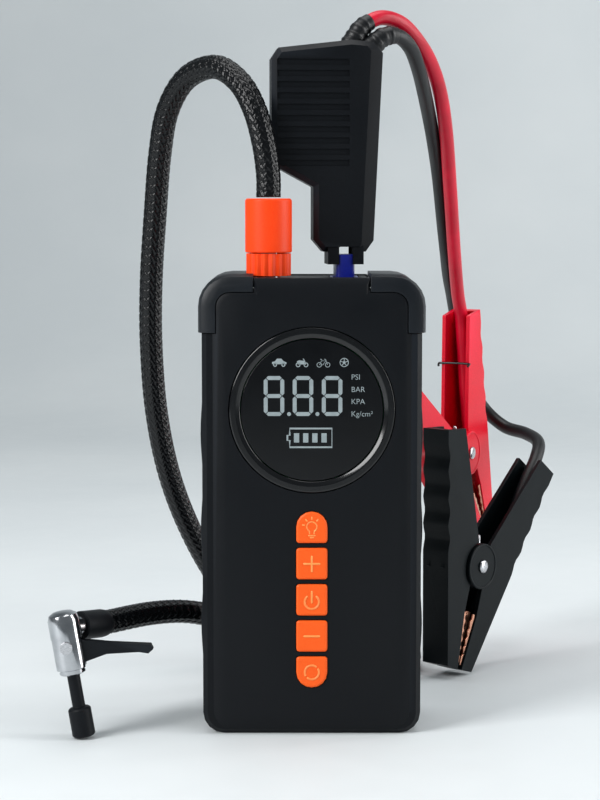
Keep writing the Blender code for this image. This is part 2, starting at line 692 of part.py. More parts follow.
def make_grooves(front):
    """Ten level grooves across the wing of the module's front shell."""
    helpers = []
    bottom = -MODULE_HALF + GROOVE_DEPTH
    for i in range(GROOVES):
        low = GROOVE_LOW + i * GROOVE_PITCH
        high = low + GROOVE_HEIGHT
        groove = box(f"module_groove_{i}", (-29.5 * MM, -12 * MM, low), (1.5 * MM, bottom, high))
        combine(front, groove)
        helpers.append(groove)
    return helpers


def make_module():
    frame = bpy.data.objects.new("module_frame", None)
    bpy.context.scene.collection.objects.link(frame)
    frame.location = (PLUG_X, PLUG_Y, 0)
    frame.rotation_euler = (0, 0, MODULE_YAW)
    front, front_helpers = module_half("module_front_shell", -1)
    rear, rear_helpers = module_half("module_rear_shell", 1)
    helpers = front_helpers + rear_helpers + make_grooves(front)
    board = box("module_board", (-8 * MM, -1 * MM, 216 * MM), (8 * MM, 1 * MM, 276 * MM))
    for obj in [front, rear, board] + helpers:
        obj.parent = frame
    cut_cable_holes((front, rear))
    finish_object(front, BLACK_PLASTIC)
    finish_object(rear, BLACK_PLASTIC)
    finish_object(board, GREEN_BOARD, smooth=False)
    plug_outline = rounded_outline(7.9 * MM, 15.6 * MM, (1.8 * MM,) * 4, 2)
    plug = top_block("ec5_plug", plug_outline, (180.5 * MM, 203 * MM))
    plug.parent = frame
    finish_object(plug, BLUE_PLASTIC)


# --------------------------------------------------------------------- clamps


def clamp_matrix(clamp):
    """The clamp's frame: X across its jaws, Z towards its handles, Y through its pivot pin."""
    pivot, turn, lean = clamp
    return Matrix.Translation(pivot) @ Matrix.Rotation(turn, 4, "Z") @ Matrix.Rotation(lean, 4, "Y")


def arm_outline(side):
    """One arm: jaw below, handle with finger waves above. side is 1 for the right-hand arm."""
    tip, end = Vector((10, -50)), Vector((46, 56))
    points = [tip]
    waves, steps = 4, 20
    inward = Vector((-0.947, 0.322))
    for i in range(steps + 1):
        share = 0.48 + 0.46 * i / steps
        depth = 0.7 * (1 - math.cos(math.tau * waves * i / steps))
        points.append(tip.lerp(end, share) + inward * depth)
    points.append(end)
    points += [Vector(point) for point in ((33, 60), (5, 11.6), (5, -12), (5, -24), (1.6, -50))]
    outline = [point * MM for point in points]
    if side < 0:
        outline = [Vector((-point.x, point.y)) for point in reversed(outline)]
    return outline


def channel_outline(side):
    """The space between an arm's two side walls, open towards the other arm."""
    points = [(7, -48), (42.2, 54.5), (44, 70), (0, 70), (-3, 12), (-3, -12), (-3, -48)]
    outline = [Vector(point) * MM for point in points]
    if side < 0:
        outline = [Vector((-point.x, point.y)) for point in reversed(outline)]
    return outline


def ear_outline(side):
    """An ear round the pivot with a web that reaches the arm's outer wall."""
    arc = [circle(EAR_RADIUS - 0.6 * MM, 16)[i] for i in range(4, 13)]
    web = [Vector((25.5, -6)) * MM, Vector((27.5, 6)) * MM]
    outline = [Vector((0, EAR_RADIUS - 0.6 * MM))] + arc[1:] + web
    if side < 0:
        outline = [Vector((-point.x, point.y)) for point in reversed(outline)]
    return outline


def pin_shape(name, radius, half_length):
    return place(turned(name, [(radius, -half_length), (radius, half_length)]), (0, 0, 0), TO_BACK)


def make_arm(name, side, fixed):
    """A channel-shaped arm. The fixed arm's ears stand outside the moving arm's ears."""
    half = CLAMP_THICK / 2
    arm = front_block(name, arm_outline(side), (-half, half))
    inner = half - CLAMP_WALL
    helpers = [front_block(name + "_channel", channel_outline(side), (-inner, inner))]
    combine(arm, helpers[0])
    for face in (-1, 1):
        if fixed:
            reach = sorted((face * inner, face * (half + 1.4 * MM)))
            disc = rod(f"{name}_disc_{face}", EAR_RADIUS, reach, (0, 0, 0), TO_BACK, 32)
            helpers.append(disc)
            combine(arm, disc, "UNION")
            continue
        cut = sorted((face * (inner - 0.2 * MM), face * (half + 4 * MM)))
        space = rod(f"{name}_space_{face}", EAR_RADIUS + 0.5 * MM, cut, (0, 0, 0), TO_BACK, 32)
        helpers.append(space)
        combine(arm, space)
        reach = sorted((face * 3.2 * MM, face * 5.1 * MM))
        ear = front_block(f"{name}_ear_{face}", ear_outline(side), reach)
        helpers.append(ear)
        combine(arm, ear, "UNION")
    bore = pin_shape(name + "_bore", 2.7 * MM, 14 * MM)
    helpers.append(bore)
    combine(arm, bore)
    for helper in helpers:
        helper.parent = arm
    return arm


def jaw_outline(side):
    """A toothed copper strip along the inside of a jaw."""
    teeth = 5
    points = [Vector((5.0, -22.0)), Vector((6.3, -47.0))]
    for i in range(teeth):
        low = -47.0 + i * 25.0 / teeth
        points += [Vector((0.5, low + 1.2)), Vector((2.3, low + 3.6))]
    outline = [point * MM for point in points]
    if side < 0:
        outline = [Vector((-point.x, point.y)) for point in reversed(outline)]
    return outline


def make_spring(name):
    """A torsion spring round the pivot pin."""
    turns, steps = 3, 27
    data = bpy.data.curves.new(name, "CURVE")
    data.dimensions = "3D"
    data.bevel_depth = 0.6 * MM
    data.bevel_resolution = 0
    data.use_fill_caps = True
    spline = data.splines.new("POLY")
    spline.points.add(steps)
    for i, point in enumerate(spline.points):
        angle = math.tau * turns * i / steps
        along = (-2.2 + 4.4 * i / steps) * MM
        point.co = (4.2 * MM * math.cos(angle), along, 4.2 * MM * math.sin(angle), 1)
    obj = bpy.data.objects.new(name, data)
    bpy.context.scene.collection.objects.link(obj)
    data.materials.append(make_material(name, *STEEL))
    return obj


def make_clamp(colour, clamp, finish):
    """Each clamp's right-hand arm holds the cable, and its left-hand arm moves."""
    frame = clamp_matrix(clamp)
    fixed = finish_object(make_arm(colour + "_fixed_arm", 1, True), finish)
    moving = finish_object(make_arm(colour + "_moving_arm", -1, False), finish)
    pieces = [fixed, moving]
    for name, side in (("fixed_jaw", 1), ("moving_jaw", -1)):
        jaw = front_block(f"{colour}_{name}", jaw_outline(side), (-4.0 * MM, 4.0 * MM))
        pieces.append(finish_object(jaw, COPPER))
    head = 3.1 * MM
    pin_profile = [(head, -10.0), (head, -9.3), (2.4 * MM, -9.3), (2.4 * MM, 9.3), (head, 9.3), (head, 10.0)]
    pin = turned(colour + "_pin", [(radius, height * MM) for radius, height in pin_profile], segments=16)
    place(pin, (0, 0, 0), TO_BACK)
    pieces += [finish_object(pin, STEEL), make_spring(colour + "_spring")]
    for piece in pieces:
        piece.matrix_world = frame @ piece.matrix_basis


def make_cable_clip():
    """A bent wire across the mouth of the red clamp's cable channel."""
    frame = clamp_matrix(RED_CLAMP)
    spot = Vector((19.8, 0, 40.0)) * MM
    clip = box("red_cable_clip", (-0.7 * MM, -8.6 * MM, -0.7 * MM), (0.7 * MM, 8.6 * MM, 0.7 * MM))
    clip.matrix_world = frame @ Matrix.Translation(spot) @ Matrix.Rotation(math.radians(18), 4, "Y")
    finish_object(clip, CHROME, smooth=False)


# ---------------------------------------------------------- cords and the chuck


def smooth_route(route, spacing):
    """Points read at even spacing from a smooth curve through the route's points."""
    knots = [Vector(point) * MM for point in route]
    ends = [2 * knots[0] - knots[1]] + knots + [2 * knots[-1] - knots[-2]]
    fine = []
    for before, start, stop, after in zip(ends, ends[1:], ends[2:], ends[3:]):
        for i in range(12):
            t = i / 12
            bend = (2 * before - 5 * start + 4 * stop - after) * t * t
            twist = (3 * start - before - 3 * stop + after) * t ** 3
            fine.append((2 * start + (stop - before) * t + bend + twist) / 2)
    fine.append(knots[-1])
    points, run = [fine[0]], 0.0
    for last, here in zip(fine, fine[1:]):
        run += (here - last).length
        if run >= spacing:
            points.append(here)
            run = 0.0
    if run > spacing / 2:
        points.append(fine[-1])
    else:
        points[-1] = fine[-1]
    return points


def make_cord(name, route, radius, spacing, finish):
    points = smooth_route(route, spacing)
    data = bpy.data.curves.new(name, "CURVE")
    data.dimensions = "3D"
    data.bevel_depth = radius
    data.bevel_resolution = 2
    data.use_fill_caps = True
    spline = data.splines.new("POLY")
    spline.points.add(len(points) - 1)
    for target, point in zip(spline.points, points):
        target.co = (*point, 1)
    obj = bpy.data.objects.new(name, data)
    bpy.context.scene.collection.objects.link(obj)
    data.materials.append(make_material(name, *finish))
    return obj


def make_hose_connector():
    nut_base = PANEL_TOP + 0.9 * MM
    flutes, steps = 18, 72
    outline = []
    for i in range(steps):
        angle = math.tau * i / steps
        radius = (9.2 + 0.35 * math.cos(flutes * angle)) * MM
        outline.append(Vector((math.cos(angle), math.sin(angle))) * radius)
    centre = (HOSE_X, HOSE_Y)
    nut = top_block("hose_nut", outline, (nut_base, 203.8 * MM), centre)
    bore = rod("nut_bore", 5.4 * MM, (-5 * MM, 30 * MM), (*centre, nut_base), segments=20)
    combine(nut, bore)
    set_origin(nut, (HOSE_X, HOSE_Y, nut_base))
    finish_object(nut, ORANGE)
    outside = [(9.5, 204.1), (9.95, 204.5), (9.95, 226.2), (9.3, 227.0)]
    inside = [(2.0, 227.0), (2.0, 209.0), (5.6, 209.0), (5.6, 204.1)]
    collar = turned("hose_collar", in_mm(outside + inside), looped=True, segments=32)
    collar.location = (HOSE_X, HOSE_Y, 0)
    finish_object(collar, ORANGE)


def chuck_axis():
    return Vector((-math.sin(CHUCK_LEAN), 0, math.cos(CHUCK_LEAN)))


def chuck_point(height):
    """The point of the chuck's axis at a height above the floor."""
    return CHUCK_FOOT + chuck_axis() * ((height - CHUCK_FOOT.z) / math.cos(CHUCK_LEAN))


def make_chuck():
    axis = chuck_axis()
    neck = [(5.2, 27.2), (5.6, 27.6), (5.6, 29.2)]
    head = [(6.75, 29.6), (6.75, 50.5), (6.0, 52.6), (4.0, 53.8), (1.5, 54.2)]
    body = place(turned("chuck_body", in_mm(neck + head)), CHUCK_FOOT, axis)
    hose_start = chuck_point(FERRULE_HEIGHT)
    boss = rod("hose_boss", 4.4 * MM, (3 * MM, 8.6 * MM), hose_start, FERRULE_DIRECTION)
    combine(body, boss, "UNION")
    pivot = lever_pivot()
    slot = box("lever_slot", (-8.0 * MM, -2.6 * MM, -11.4 * MM), (12 * MM, 2.6 * MM, 3.2 * MM))
    slot.location = pivot
    slot.rotation_euler = (0, -CHUCK_LEAN, 0)
    combine(body, slot)
    stem_space = rod("stem_space", 3.1 * MM, (20 * MM, 29 * MM), CHUCK_FOOT, axis, 16)
    combine(body, stem_space)
    pin_bore = rod("pin_bore", 1.9 * MM, (-10 * MM, 10 * MM), pivot, TO_FRONT, 12)
    combine(body, pin_bore)
    finish_object(body, CHROME)
    pin_profile = in_mm([(1.6, -6.4), (1.6, 6.9), (2.7, 6.9), (2.7, 7.9)])
    pin = place(turned("chuck_pin", pin_profile, segments=16), pivot, TO_FRONT)
    finish_object(pin, STEEL)
    make_lever(pivot, pin_bore)
    adapter_profile = [(4.3, 0.0), (4.9, 0.6), (4.9, 11.6), (4.2, 12.4), (2.75, 12.8), (2.75, 28.4)]
    adapter = place(turned("valve_adapter", in_mm(adapter_profile)), CHUCK_FOOT, axis)
    finish_object(adapter, BLACK_PLASTIC)
    ferrule_profile = [(6.1, 8.9), (6.1, 20.0), (5.6, 23.0), (3.0, 23.0), (3.0, 12.0), (3.0, 8.9)]
    ferrule = turned("hose_ferrule", in_mm(ferrule_profile), looped=True)
    place(ferrule, hose_start, FERRULE_DIRECTION)
    finish_object(ferrule, BLACK_PLASTIC)


def lever_pivot():
    return chuck_point(39.9 * MM)


def make_lever(pivot, pin_bore):
    """A wedge beside the chuck that narrows into a thin thumb handle."""
    angles = [math.radians(angle) for angle in (120, 160, 200, 240)]
    hub = [(2.7 * math.cos(angle), 2.7 * math.sin(angle)) for angle in angles]
    under = [(5.4, -7.6), (8.5, -6.4), (16.5, -3.4), (30, -2.6), (34, -3.2)]
    over = [(36, -1.4), (35, 0.6), (31, 0.8), (17, 1.4), (9, 2.2), (3.0, 2.2)]
    outline = [Vector(point) for point in in_mm(hub + under + over)]
    lever = front_block("chuck_lever", outline, (-2.2 * MM, 2.2 * MM))
    lever.location = pivot
    combine(lever, pin_bore)
    finish_object(lever, BLACK_PLASTIC)


def make_cords():
    make_cord("air_hose", HOSE_ROUTE, HOSE_RADIUS, 16 * MM, BLACK_RUBBER)
    make_cord("red_cable", RED_ROUTE, CABLE_RADIUS, 11 * MM, RED_PLASTIC)
    make_cord("black_cable", BLACK_ROUTE, CABLE_RADIUS, 11 * MM, BLACK_RUBBER)


def main():
    clear_scene()
    nut_space = nut_clearance()
    make_casing(nut_space)
    make_guards(nut_space)
    make_lamp_lens()
    make_display()
    make_buttons()
    make_top_panel()
    make_socket()
    make_air_outlet()
    make_electronics()
    make_gears()
    make_compressor()
    make_module()
    make_clamp("black", BLACK_CLAMP, BLACK_PLASTIC)
    make_clamp("red", RED_CLAMP, RED_PLASTIC)
    make_cable_clip()
    make_hose_connector()
    make_chuck()
    make_cords()


main()
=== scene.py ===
import json
import math

import bmesh
import bpy
import numpy as np
from mathutils import Matrix, Vector


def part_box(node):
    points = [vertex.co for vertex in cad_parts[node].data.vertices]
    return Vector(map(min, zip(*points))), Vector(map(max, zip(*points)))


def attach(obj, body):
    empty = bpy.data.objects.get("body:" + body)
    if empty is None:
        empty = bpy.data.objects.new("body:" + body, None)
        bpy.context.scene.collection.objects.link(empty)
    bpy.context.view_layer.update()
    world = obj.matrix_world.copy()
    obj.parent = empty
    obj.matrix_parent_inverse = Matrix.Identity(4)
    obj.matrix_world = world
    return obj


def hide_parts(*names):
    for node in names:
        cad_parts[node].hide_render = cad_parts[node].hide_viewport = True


MM = 0.001

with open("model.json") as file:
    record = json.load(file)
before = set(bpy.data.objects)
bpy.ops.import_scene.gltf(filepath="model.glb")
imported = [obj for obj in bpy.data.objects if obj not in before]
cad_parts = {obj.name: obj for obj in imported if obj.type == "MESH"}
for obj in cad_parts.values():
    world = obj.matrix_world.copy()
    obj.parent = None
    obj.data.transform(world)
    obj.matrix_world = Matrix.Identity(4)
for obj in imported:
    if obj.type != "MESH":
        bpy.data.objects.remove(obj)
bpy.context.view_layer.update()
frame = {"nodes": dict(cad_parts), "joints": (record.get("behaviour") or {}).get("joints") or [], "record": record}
nodes = frame["nodes"]
joints = {joint["name"]: joint for joint in frame["joints"]}
scene = bpy.context.scene


# ------------------------------------------------------------------ the studio

CAMERA_PLACE = (-0.005, -0.906, 0.228)
CAMERA_PITCH = math.radians(5.51)
CAMERA_LENS = 95.13


def add_camera():
    data = bpy.data.cameras.new("camera")
    data.lens = CAMERA_LENS
    camera = bpy.data.objects.new("camera", data)
    camera.location = CAMERA_PLACE
    camera.rotation_euler = (math.pi / 2 - CAMERA_PITCH, 0, 0)
    scene.collection.objects.link(camera)
    scene.camera = camera


def add_area_light(name, place, target, size, power):
    data = bpy.data.lights.new(name, "AREA")
    data.shape = "RECTANGLE"
    data.size, data.size_y = size
    data.energy = power
    light = bpy.data.objects.new(name, data)
    aim = (Vector(target) - Vector(place)).to_track_quat("-Z", "Y").to_matrix().to_4x4()
    light.matrix_world = Matrix.Translation(place) @ aim
    scene.collection.objects.link(light)


def add_lights():
    middle = (0.0, 0.02, 0.12)
    add_area_light("key_left", (-0.85, -0.65, 0.75), middle, (0.5, 0.9), 15.0)
    add_area_light("fill_right", (1.0, -0.1, 0.45), middle, (0.35, 0.9), 7.0)
    add_area_light("top", (0.05, 0.1, 1.2), middle, (0.9, 0.7), 6.0)
    add_area_light("wall", (1.6, 0.7, 0.9), (0.7, 2.0, 0.9), (1.2, 1.2), 20.0)
    world = bpy.data.worlds.new("studio")
    world.use_nodes = True
    background = world.node_tree.nodes["Background"]
    background.inputs["Color"].default_value = (0.82, 0.9, 0.95, 1)
    background.inputs["Strength"].default_value = 0.26
    scene.world = world
    scene.view_settings.view_transform = "Standard"


def add_floor():
    """A pale floor that curves up into a backdrop."""
    half_width, front, bend, radius, height = 5.0, -5.0, 1.1, 0.9, 3.4
    steps = 16
    profile = [(front, 0.0), (bend, 0.0)]
    for i in range(1, steps + 1):
        angle = math.pi / 2 * i / steps
        profile.append((bend + radius * math.sin(angle), radius * (1 - math.cos(angle))))
    profile.append((bend + radius, height))
    points = [(x, y, z) for y, z in profile for x in (-half_width, half_width)]
    faces = [(2 * i, 2 * i + 1, 2 * i + 3, 2 * i + 2) for i in range(len(profile) - 1)]
    mesh = bpy.data.meshes.new("floor")
    mesh.from_pydata(points, [], faces)
    mesh.polygons.foreach_set("use_smooth", [True] * len(faces))
    floor = bpy.data.objects.new("floor", mesh)
    scene.collection.objects.link(floor)
    mesh.materials.append(floor_material())


# ------------------------------------------------------------------- materials

def new_material(name, colour, roughness, metallic=0.0, **sockets):
    """A material with its fixed values set on the shader's own sockets."""
    material = bpy.data.materials.new(name)
    material.use_nodes = True
    shader = material.node_tree.nodes["Principled BSDF"]
    shader.inputs["Base Color"].default_value = (*colour, 1)
    shader.inputs["Roughness"].default_value = roughness
    shader.inputs["Metallic"].default_value = metallic
    for socket, value in sockets.items():
        shader.inputs[socket.replace("_", " ")].default_value = value
    return material


def shader_of(material):
    return material.node_tree.nodes["Principled BSDF"]


def add_node(material, kind, **values):
    node = material.node_tree.nodes.new(kind)
    for name, value in values.items():
        if hasattr(node, name):
            setattr(node, name, value)
        else:
            node.inputs[name.replace("_", " ")].default_value = value
    return node


def object_coordinates(material, stretch=(1, 1, 1)):
    """Coordinates in metres, with each axis multiplied by its stretch."""
    place = add_node(material, "ShaderNodeTexCoord")
    mapping = add_node(material, "ShaderNodeMapping", Scale=stretch)
    material.node_tree.links.new(place.outputs["Object"], mapping.inputs["Vector"])
    return mapping.outputs["Vector"]


def noise(material, scale, detail=2.0, rough=0.5, stretch=(1, 1, 1)):
    """Noise that repeats about scale times in a metre."""
    texture = add_node(material, "ShaderNodeTexNoise", Scale=scale, Detail=detail, Roughness=rough)
    material.node_tree.links.new(object_coordinates(material, stretch), texture.inputs["Vector"])
    return texture.outputs["Fac"]


def ramp(material, source, low, high, low_value, high_value):
    """source between low and high, as a number between low_value and high_value."""
    node = add_node(material, "ShaderNodeMapRange")
    limits = {"From Min": low, "From Max": high, "To Min": low_value, "To Max": high_value}
    for socket, value in limits.items():
        node.inputs[socket].default_value = value
    material.node_tree.links.new(source, node.inputs["Value"])
    return node.outputs["Result"]


def mix_colours(material, factor, first, second):
    node = add_node(material, "ShaderNodeMix", data_type="RGBA")
    links = material.node_tree.links
    links.new(factor, node.inputs["Factor"])
    for socket, colour in ((node.inputs[6], first), (node.inputs[7], second)):
        if isinstance(colour, tuple):
            socket.default_value = (*colour, 1)
        else:
            links.new(colour, socket)
    return node.outputs[2]


def add_bumps(material, *layers):
    """Each layer is (height output, strength, distance in metres)."""
    links = material.node_tree.links
    normal = None
    for height, strength, distance in layers:
        bump = add_node(material, "ShaderNodeBump", Strength=strength, Distance=distance)
        links.new(height, bump.inputs["Height"])
        if normal:
            links.new(normal, bump.inputs["Normal"])
        normal = bump.outputs["Normal"]
    links.new(normal, shader_of(material).inputs["Normal"])


# Most of a noise texture's values lie between these two.
NOISE_LOW, NOISE_HIGH = 0.3, 0.7


def set_roughness(material, source, low, high):
    """Roughness that goes from low to high with the source."""
    roughness = ramp(material, source, NOISE_LOW, NOISE_HIGH, low, high)
    material.node_tree.links.new(roughness, shader_of(material).inputs["Roughness"])


def set_colour(material, source, first, second, low=0.35, high=0.65):
    """Colour that goes from first to second while the source goes from low to high."""
    factor = ramp(material, source, low, high, 0.0, 1.0)
    colour = mix_colours(material, factor, first, second)
    material.node_tree.links.new(colour, shader_of(material).inputs["Base Color"])
    return colour


# Pointiness is 0.5 on a flat face and more on an outer edge, where a paler colour is painted in: a painted
# highlight along the edges, which also stands for rubbing from handling.
HIGHLIGHT_AND_WEAR_STARTS, HIGHLIGHT_AND_WEAR_FULL = 0.54, 0.64


def edge_highlight_and_wear(material, colour_output, highlit_and_worn, amount):
    """Mixes a paler colour in along outer edges: a painted highlight there, which also stands for rubbing from
    handling.
    """
    geometry = add_node(material, "ShaderNodeNewGeometry")
    sharp = ramp(material, geometry.outputs["Pointiness"], HIGHLIGHT_AND_WEAR_STARTS, HIGHLIGHT_AND_WEAR_FULL, 0.0, amount)
    mixed = mix_colours(material, sharp, colour_output, highlit_and_worn)
    material.node_tree.links.new(mixed, shader_of(material).inputs["Base Color"])


def moulded_plastic(name, dark, light, roughness, grain, depth, highlight_and_wear=0.5, **sockets):
    """Moulded plastic: fine grain, faint blotches and handled, slightly paler edges; the paler edges are also a
    painted highlight.
    """
    material = new_material(name, dark, roughness, **sockets)
    fine = noise(material, grain, 3.0, 0.6)
    broad = noise(material, 45.0, 3.0)
    set_roughness(material, broad, roughness - 0.05, roughness + 0.06)
    colour = set_colour(material, fine, dark, light)
    # A much paler colour for the outer edges: painted highlight, also standing for rubbing from handling.
    highlit_and_worn = tuple(min(1.0, 2.5 * part + 0.004) for part in light)
    edge_highlight_and_wear(material, colour, highlit_and_worn, highlight_and_wear)
    add_bumps(material, (fine, 0.35, depth), (broad, 0.08, 0.3 * MM))
    return material


def floor_material():
    material = new_material("floor", (0.8, 0.83, 0.84), 0.6)
    cloudy = noise(material, 3.0, 4.0)
    set_colour(material, cloudy, (0.66, 0.7, 0.715), (0.72, 0.755, 0.765))
    set_roughness(material, noise(material, 60.0), 0.55, 0.68)
    return material


def brushed_metal(name, dark, light, roughness, stretch):
    material = new_material(name, dark, roughness, metallic=1.0)
    lines = noise(material, 900.0, 4.0, 0.6, stretch)
    set_colour(material, lines, dark, light)
    set_roughness(material, lines, roughness - 0.06, roughness + 0.08)
    add_bumps(material, (lines, 0.12, 0.02 * MM))
    return material


def polished_metal(name, dark, light, roughness):
    material = new_material(name, dark, roughness, metallic=1.0)
    smudges = noise(material, 120.0, 4.0)
    scratches = noise(material, 500.0, 2.0, 0.5, (1, 1, 9))
    set_colour(material, smudges, dark, light)
    set_roughness(material, smudges, roughness * 0.7, roughness * 1.6)
    add_bumps(material, (scratches, 0.04, 0.01 * MM))
    return material


def board_material():
    material = new_material("circuit_board", (0.01, 0.12, 0.04), 0.4)
    tracks = add_node(material, "ShaderNodeTexBrick", Scale=260.0)
    tracks.inputs["Mortar Size"].default_value = 0.035
    material.node_tree.links.new(object_coordinates(material), tracks.inputs["Vector"])
    set_colour(material, tracks.outputs["Fac"], (0.008, 0.1, 0.035), (0.02, 0.2, 0.07), 0.2, 0.8)
    add_bumps(material, (tracks.outputs["Fac"], 0.3, 0.05 * MM))
    return material


def foil_material():
    material = new_material("cell_foil", (0.6, 0.62, 0.65), 0.35, metallic=1.0)
    wrinkles = noise(material, 70.0, 5.0, 0.65)
    set_colour(material, wrinkles, (0.5, 0.52, 0.55), (0.72, 0.73, 0.76))
    set_roughness(material, wrinkles, 0.25, 0.45)
    add_bumps(material, (wrinkles, 0.5, 0.5 * MM))
    return material


def clear_material():
    material = new_material("clear_lens", (0.85, 0.88, 0.9), 0.12, Transmission_Weight=0.75, IOR=1.49)
    prisms = add_node(material, "ShaderNodeTexWave", Scale=160.0)
    material.node_tree.links.new(object_coordinates(material), prisms.inputs["Vector"])
    add_bumps(material, (prisms.outputs["Fac"], 0.35, 0.3 * MM))
    set_roughness(material, noise(material, 200.0), 0.08, 0.18)
    return material


def cable_material(name, dark, light, roughness):
    material = new_material(name, dark, roughness, Specular_IOR_Level=0.4)
    broad = noise(material, 60.0, 3.0)
    fine = noise(material, 2500.0, 2.0)
    set_colour(material, broad, dark, light)
    set_roughness(material, broad, roughness - 0.05, roughness + 0.08)
    add_bumps(material, (fine, 0.12, 0.04 * MM), (broad, 0.05, 0.2 * MM))
    return material


def braid_material():
    """Glossy black filaments; the strands themselves are in the mesh."""
    material = new_material("braid", (0.002, 0.0024, 0.003), 0.25, Specular_IOR_Level=0.3)
    filaments = noise(material, 3500.0, 3.0, 0.7)
    set_colour(material, filaments, (0.0008, 0.001, 0.0014), (0.003, 0.0036, 0.0046))
    set_roughness(material, filaments, 0.16, 0.3)
    add_bumps(material, (filaments, 0.3, 0.05 * MM))
    return material


def display_material():
    """Pale printed segments that glow faintly."""
    material = new_material("display_print", (0.17, 0.2, 0.21), 0.35)
    shader = shader_of(material)
    patchy = noise(material, 300.0, 2.0)
    set_colour(material, patchy, (0.15, 0.18, 0.19), (0.2, 0.235, 0.245))
    shader.inputs["Emission Color"].default_value = (0.17, 0.205, 0.215, 1)
    shader.inputs["Emission Strength"].default_value = 0.75
    return material


def make_plastics():
    """The moulded parts: name, dark and light colour, roughness, grains in a metre and their depth."""
    fine, very_fine = 0.03 * MM, 0.01 * MM
    return {
        "casing": moulded_plastic(
            "casing", (0.0018, 0.0024, 0.0034), (0.005, 0.0066, 0.0092), 0.46, 2600, 0.06 * MM,
            Specular_IOR_Level=0.17),
        "rubber": moulded_plastic(
            "guard_rubber", (0.003, 0.0046, 0.007), (0.006, 0.0085, 0.012), 0.42, 3200, 0.04 * MM,
            Specular_IOR_Level=0.3),
        # Gloss black and the bezel get less of the painted edge highlight than the other plastics.
        "gloss_black": moulded_plastic(
            "gloss_black", (0.001, 0.0013, 0.002), (0.0016, 0.002, 0.003), 0.12, 90, very_fine,
            highlight_and_wear=0.1, Specular_IOR_Level=0.35),
        "bezel": moulded_plastic(
            "bezel_black", (0.001, 0.0013, 0.002), (0.0016, 0.002, 0.0028), 0.14, 90, very_fine,
            highlight_and_wear=0.1, Specular_IOR_Level=0.5),
        "orange": moulded_plastic(
            "orange_plastic", (1.0, 0.05, 0.002), (1.0, 0.068, 0.005), 0.45, 2200, fine,
            Specular_IOR_Level=0.25),
        "button_orange": moulded_plastic(
            "button_orange", (1.0, 0.105, 0.006), (1.0, 0.13, 0.012), 0.45, 2200, fine,
            Specular_IOR_Level=0.25),
        # The raised icon strokes are moulded from the buttons' own orange; their paler orange here is a painted
        # highlight.
        "highlit_icon": moulded_plastic(
            "orange_icon_painted_highlight", (1.0, 0.24, 0.05), (1.0, 0.3, 0.07), 0.38, 2200, fine),
        "red": moulded_plastic(
            "red_plastic", (0.66, 0.0, 0.012), (0.8, 0.0, 0.022), 0.36, 1800, fine,
            Specular_IOR_Level=0.3),
        "black_clamp": moulded_plastic(
            "black_clamp_plastic", (0.0022, 0.0036, 0.0044), (0.0045, 0.007, 0.0085), 0.36, 1800, fine,
            Specular_IOR_Level=0.14),
        "blue": moulded_plastic(
            "blue_plastic", (0.001, 0.006, 0.17), (0.002, 0.01, 0.24), 0.3, 1500, fine),
    }


def make_metals():
    return {
        "steel": brushed_metal("steel", (0.45, 0.45, 0.47), (0.7, 0.7, 0.72), 0.28, (1, 1, 6)),
        "chrome": polished_metal("chrome", (0.4, 0.41, 0.43), (0.54, 0.55, 0.57), 0.11),
        "copper": brushed_metal("copper", (0.62, 0.27, 0.17), (0.86, 0.46, 0.32), 0.3, (5, 5, 1)),
        "aluminium": brushed_metal(
            "aluminium", (0.42, 0.42, 0.44), (0.62, 0.62, 0.64), 0.4, (1, 1, 2)),
        "foil": foil_material(),
    }


def make_materials():
    others = {
        "board": board_material(),
        "clear": clear_material(),
        "braid": braid_material(),
        "red_cable": cable_material("red_silicone", (0.5, 0.0, 0.018), (0.66, 0.001, 0.028), 0.36),
        "black_cable": cable_material(
            "black_silicone", (0.0018, 0.0022, 0.003), (0.004, 0.005, 0.0065), 0.4),
        "print": display_material(),
    }
    return {**make_plastics(), **make_metals(), **others}


materials = make_materials()
NODE_SLOTS = {part["node"]: part["material_slot"] for part in frame["record"]["subparts"]}


def material_of_node(name):
    """The material of the node's slot, but with a warmer orange on the buttons."""
    if NODE_SLOTS[name] == "orange" and name.startswith("button_"):
        return materials["button_orange"]
    return materials[NODE_SLOTS[name]]


def add_soft_edges(obj, width, angle):
    """Rounds each edge that is sharper than the angle, and shades the rest smooth."""
    obj.data.polygons.foreach_set("use_smooth", [True] * len(obj.data.polygons))
    bevel = obj.modifiers.new("soft_edges", "BEVEL")
    bevel.width = width
    bevel.segments = 2
    bevel.limit_method = "ANGLE"
    bevel.angle_limit = math.radians(angle)
    bevel.harden_normals = True


def soften_node(node):
    """Softens a CAD node, after welding its points and joining the triangles of its flat faces."""
    mesh = node.data
    if "custom_normal" in mesh.attributes:
        mesh.attributes.remove(mesh.attributes["custom_normal"])
    weld = node.modifiers.new("weld", "WELD")
    weld.merge_threshold = 0.002 * MM
    flat = node.modifiers.new("flat_faces", "DECIMATE")
    flat.decimate_type = "DISSOLVE"
    flat.angle_limit = math.radians(0.6)
    add_soft_edges(node, 0.25 * MM, 32)


def finish_cad_nodes():
    """Gives each CAD node its material, smooth shading and softened edges."""
    for name, node in nodes.items():
        node.data.materials.clear()
        node.data.materials.append(material_of_node(name))
        soften_node(node)


# ------------------------------------------------------------ mesh building

def new_object(name, points, faces, material, smooth=True):
    mesh = bpy.data.meshes.new(name)
    mesh.from_pydata([tuple(point) for point in points], [], faces)
    mesh.polygons.foreach_set("use_smooth", [smooth] * len(faces))
    mesh.materials.append(materials[material])
    obj = bpy.data.objects.new(name, mesh)
    scene.collection.objects.link(obj)
    return obj


def piece(obj, body, slot_name, *replaced):
    """Declares a finished piece: the body that it rides on and the nodes that it stands for. slot_name is not
    used.
    """
    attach(obj, body)
    if replaced:
        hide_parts(*replaced)
    return obj


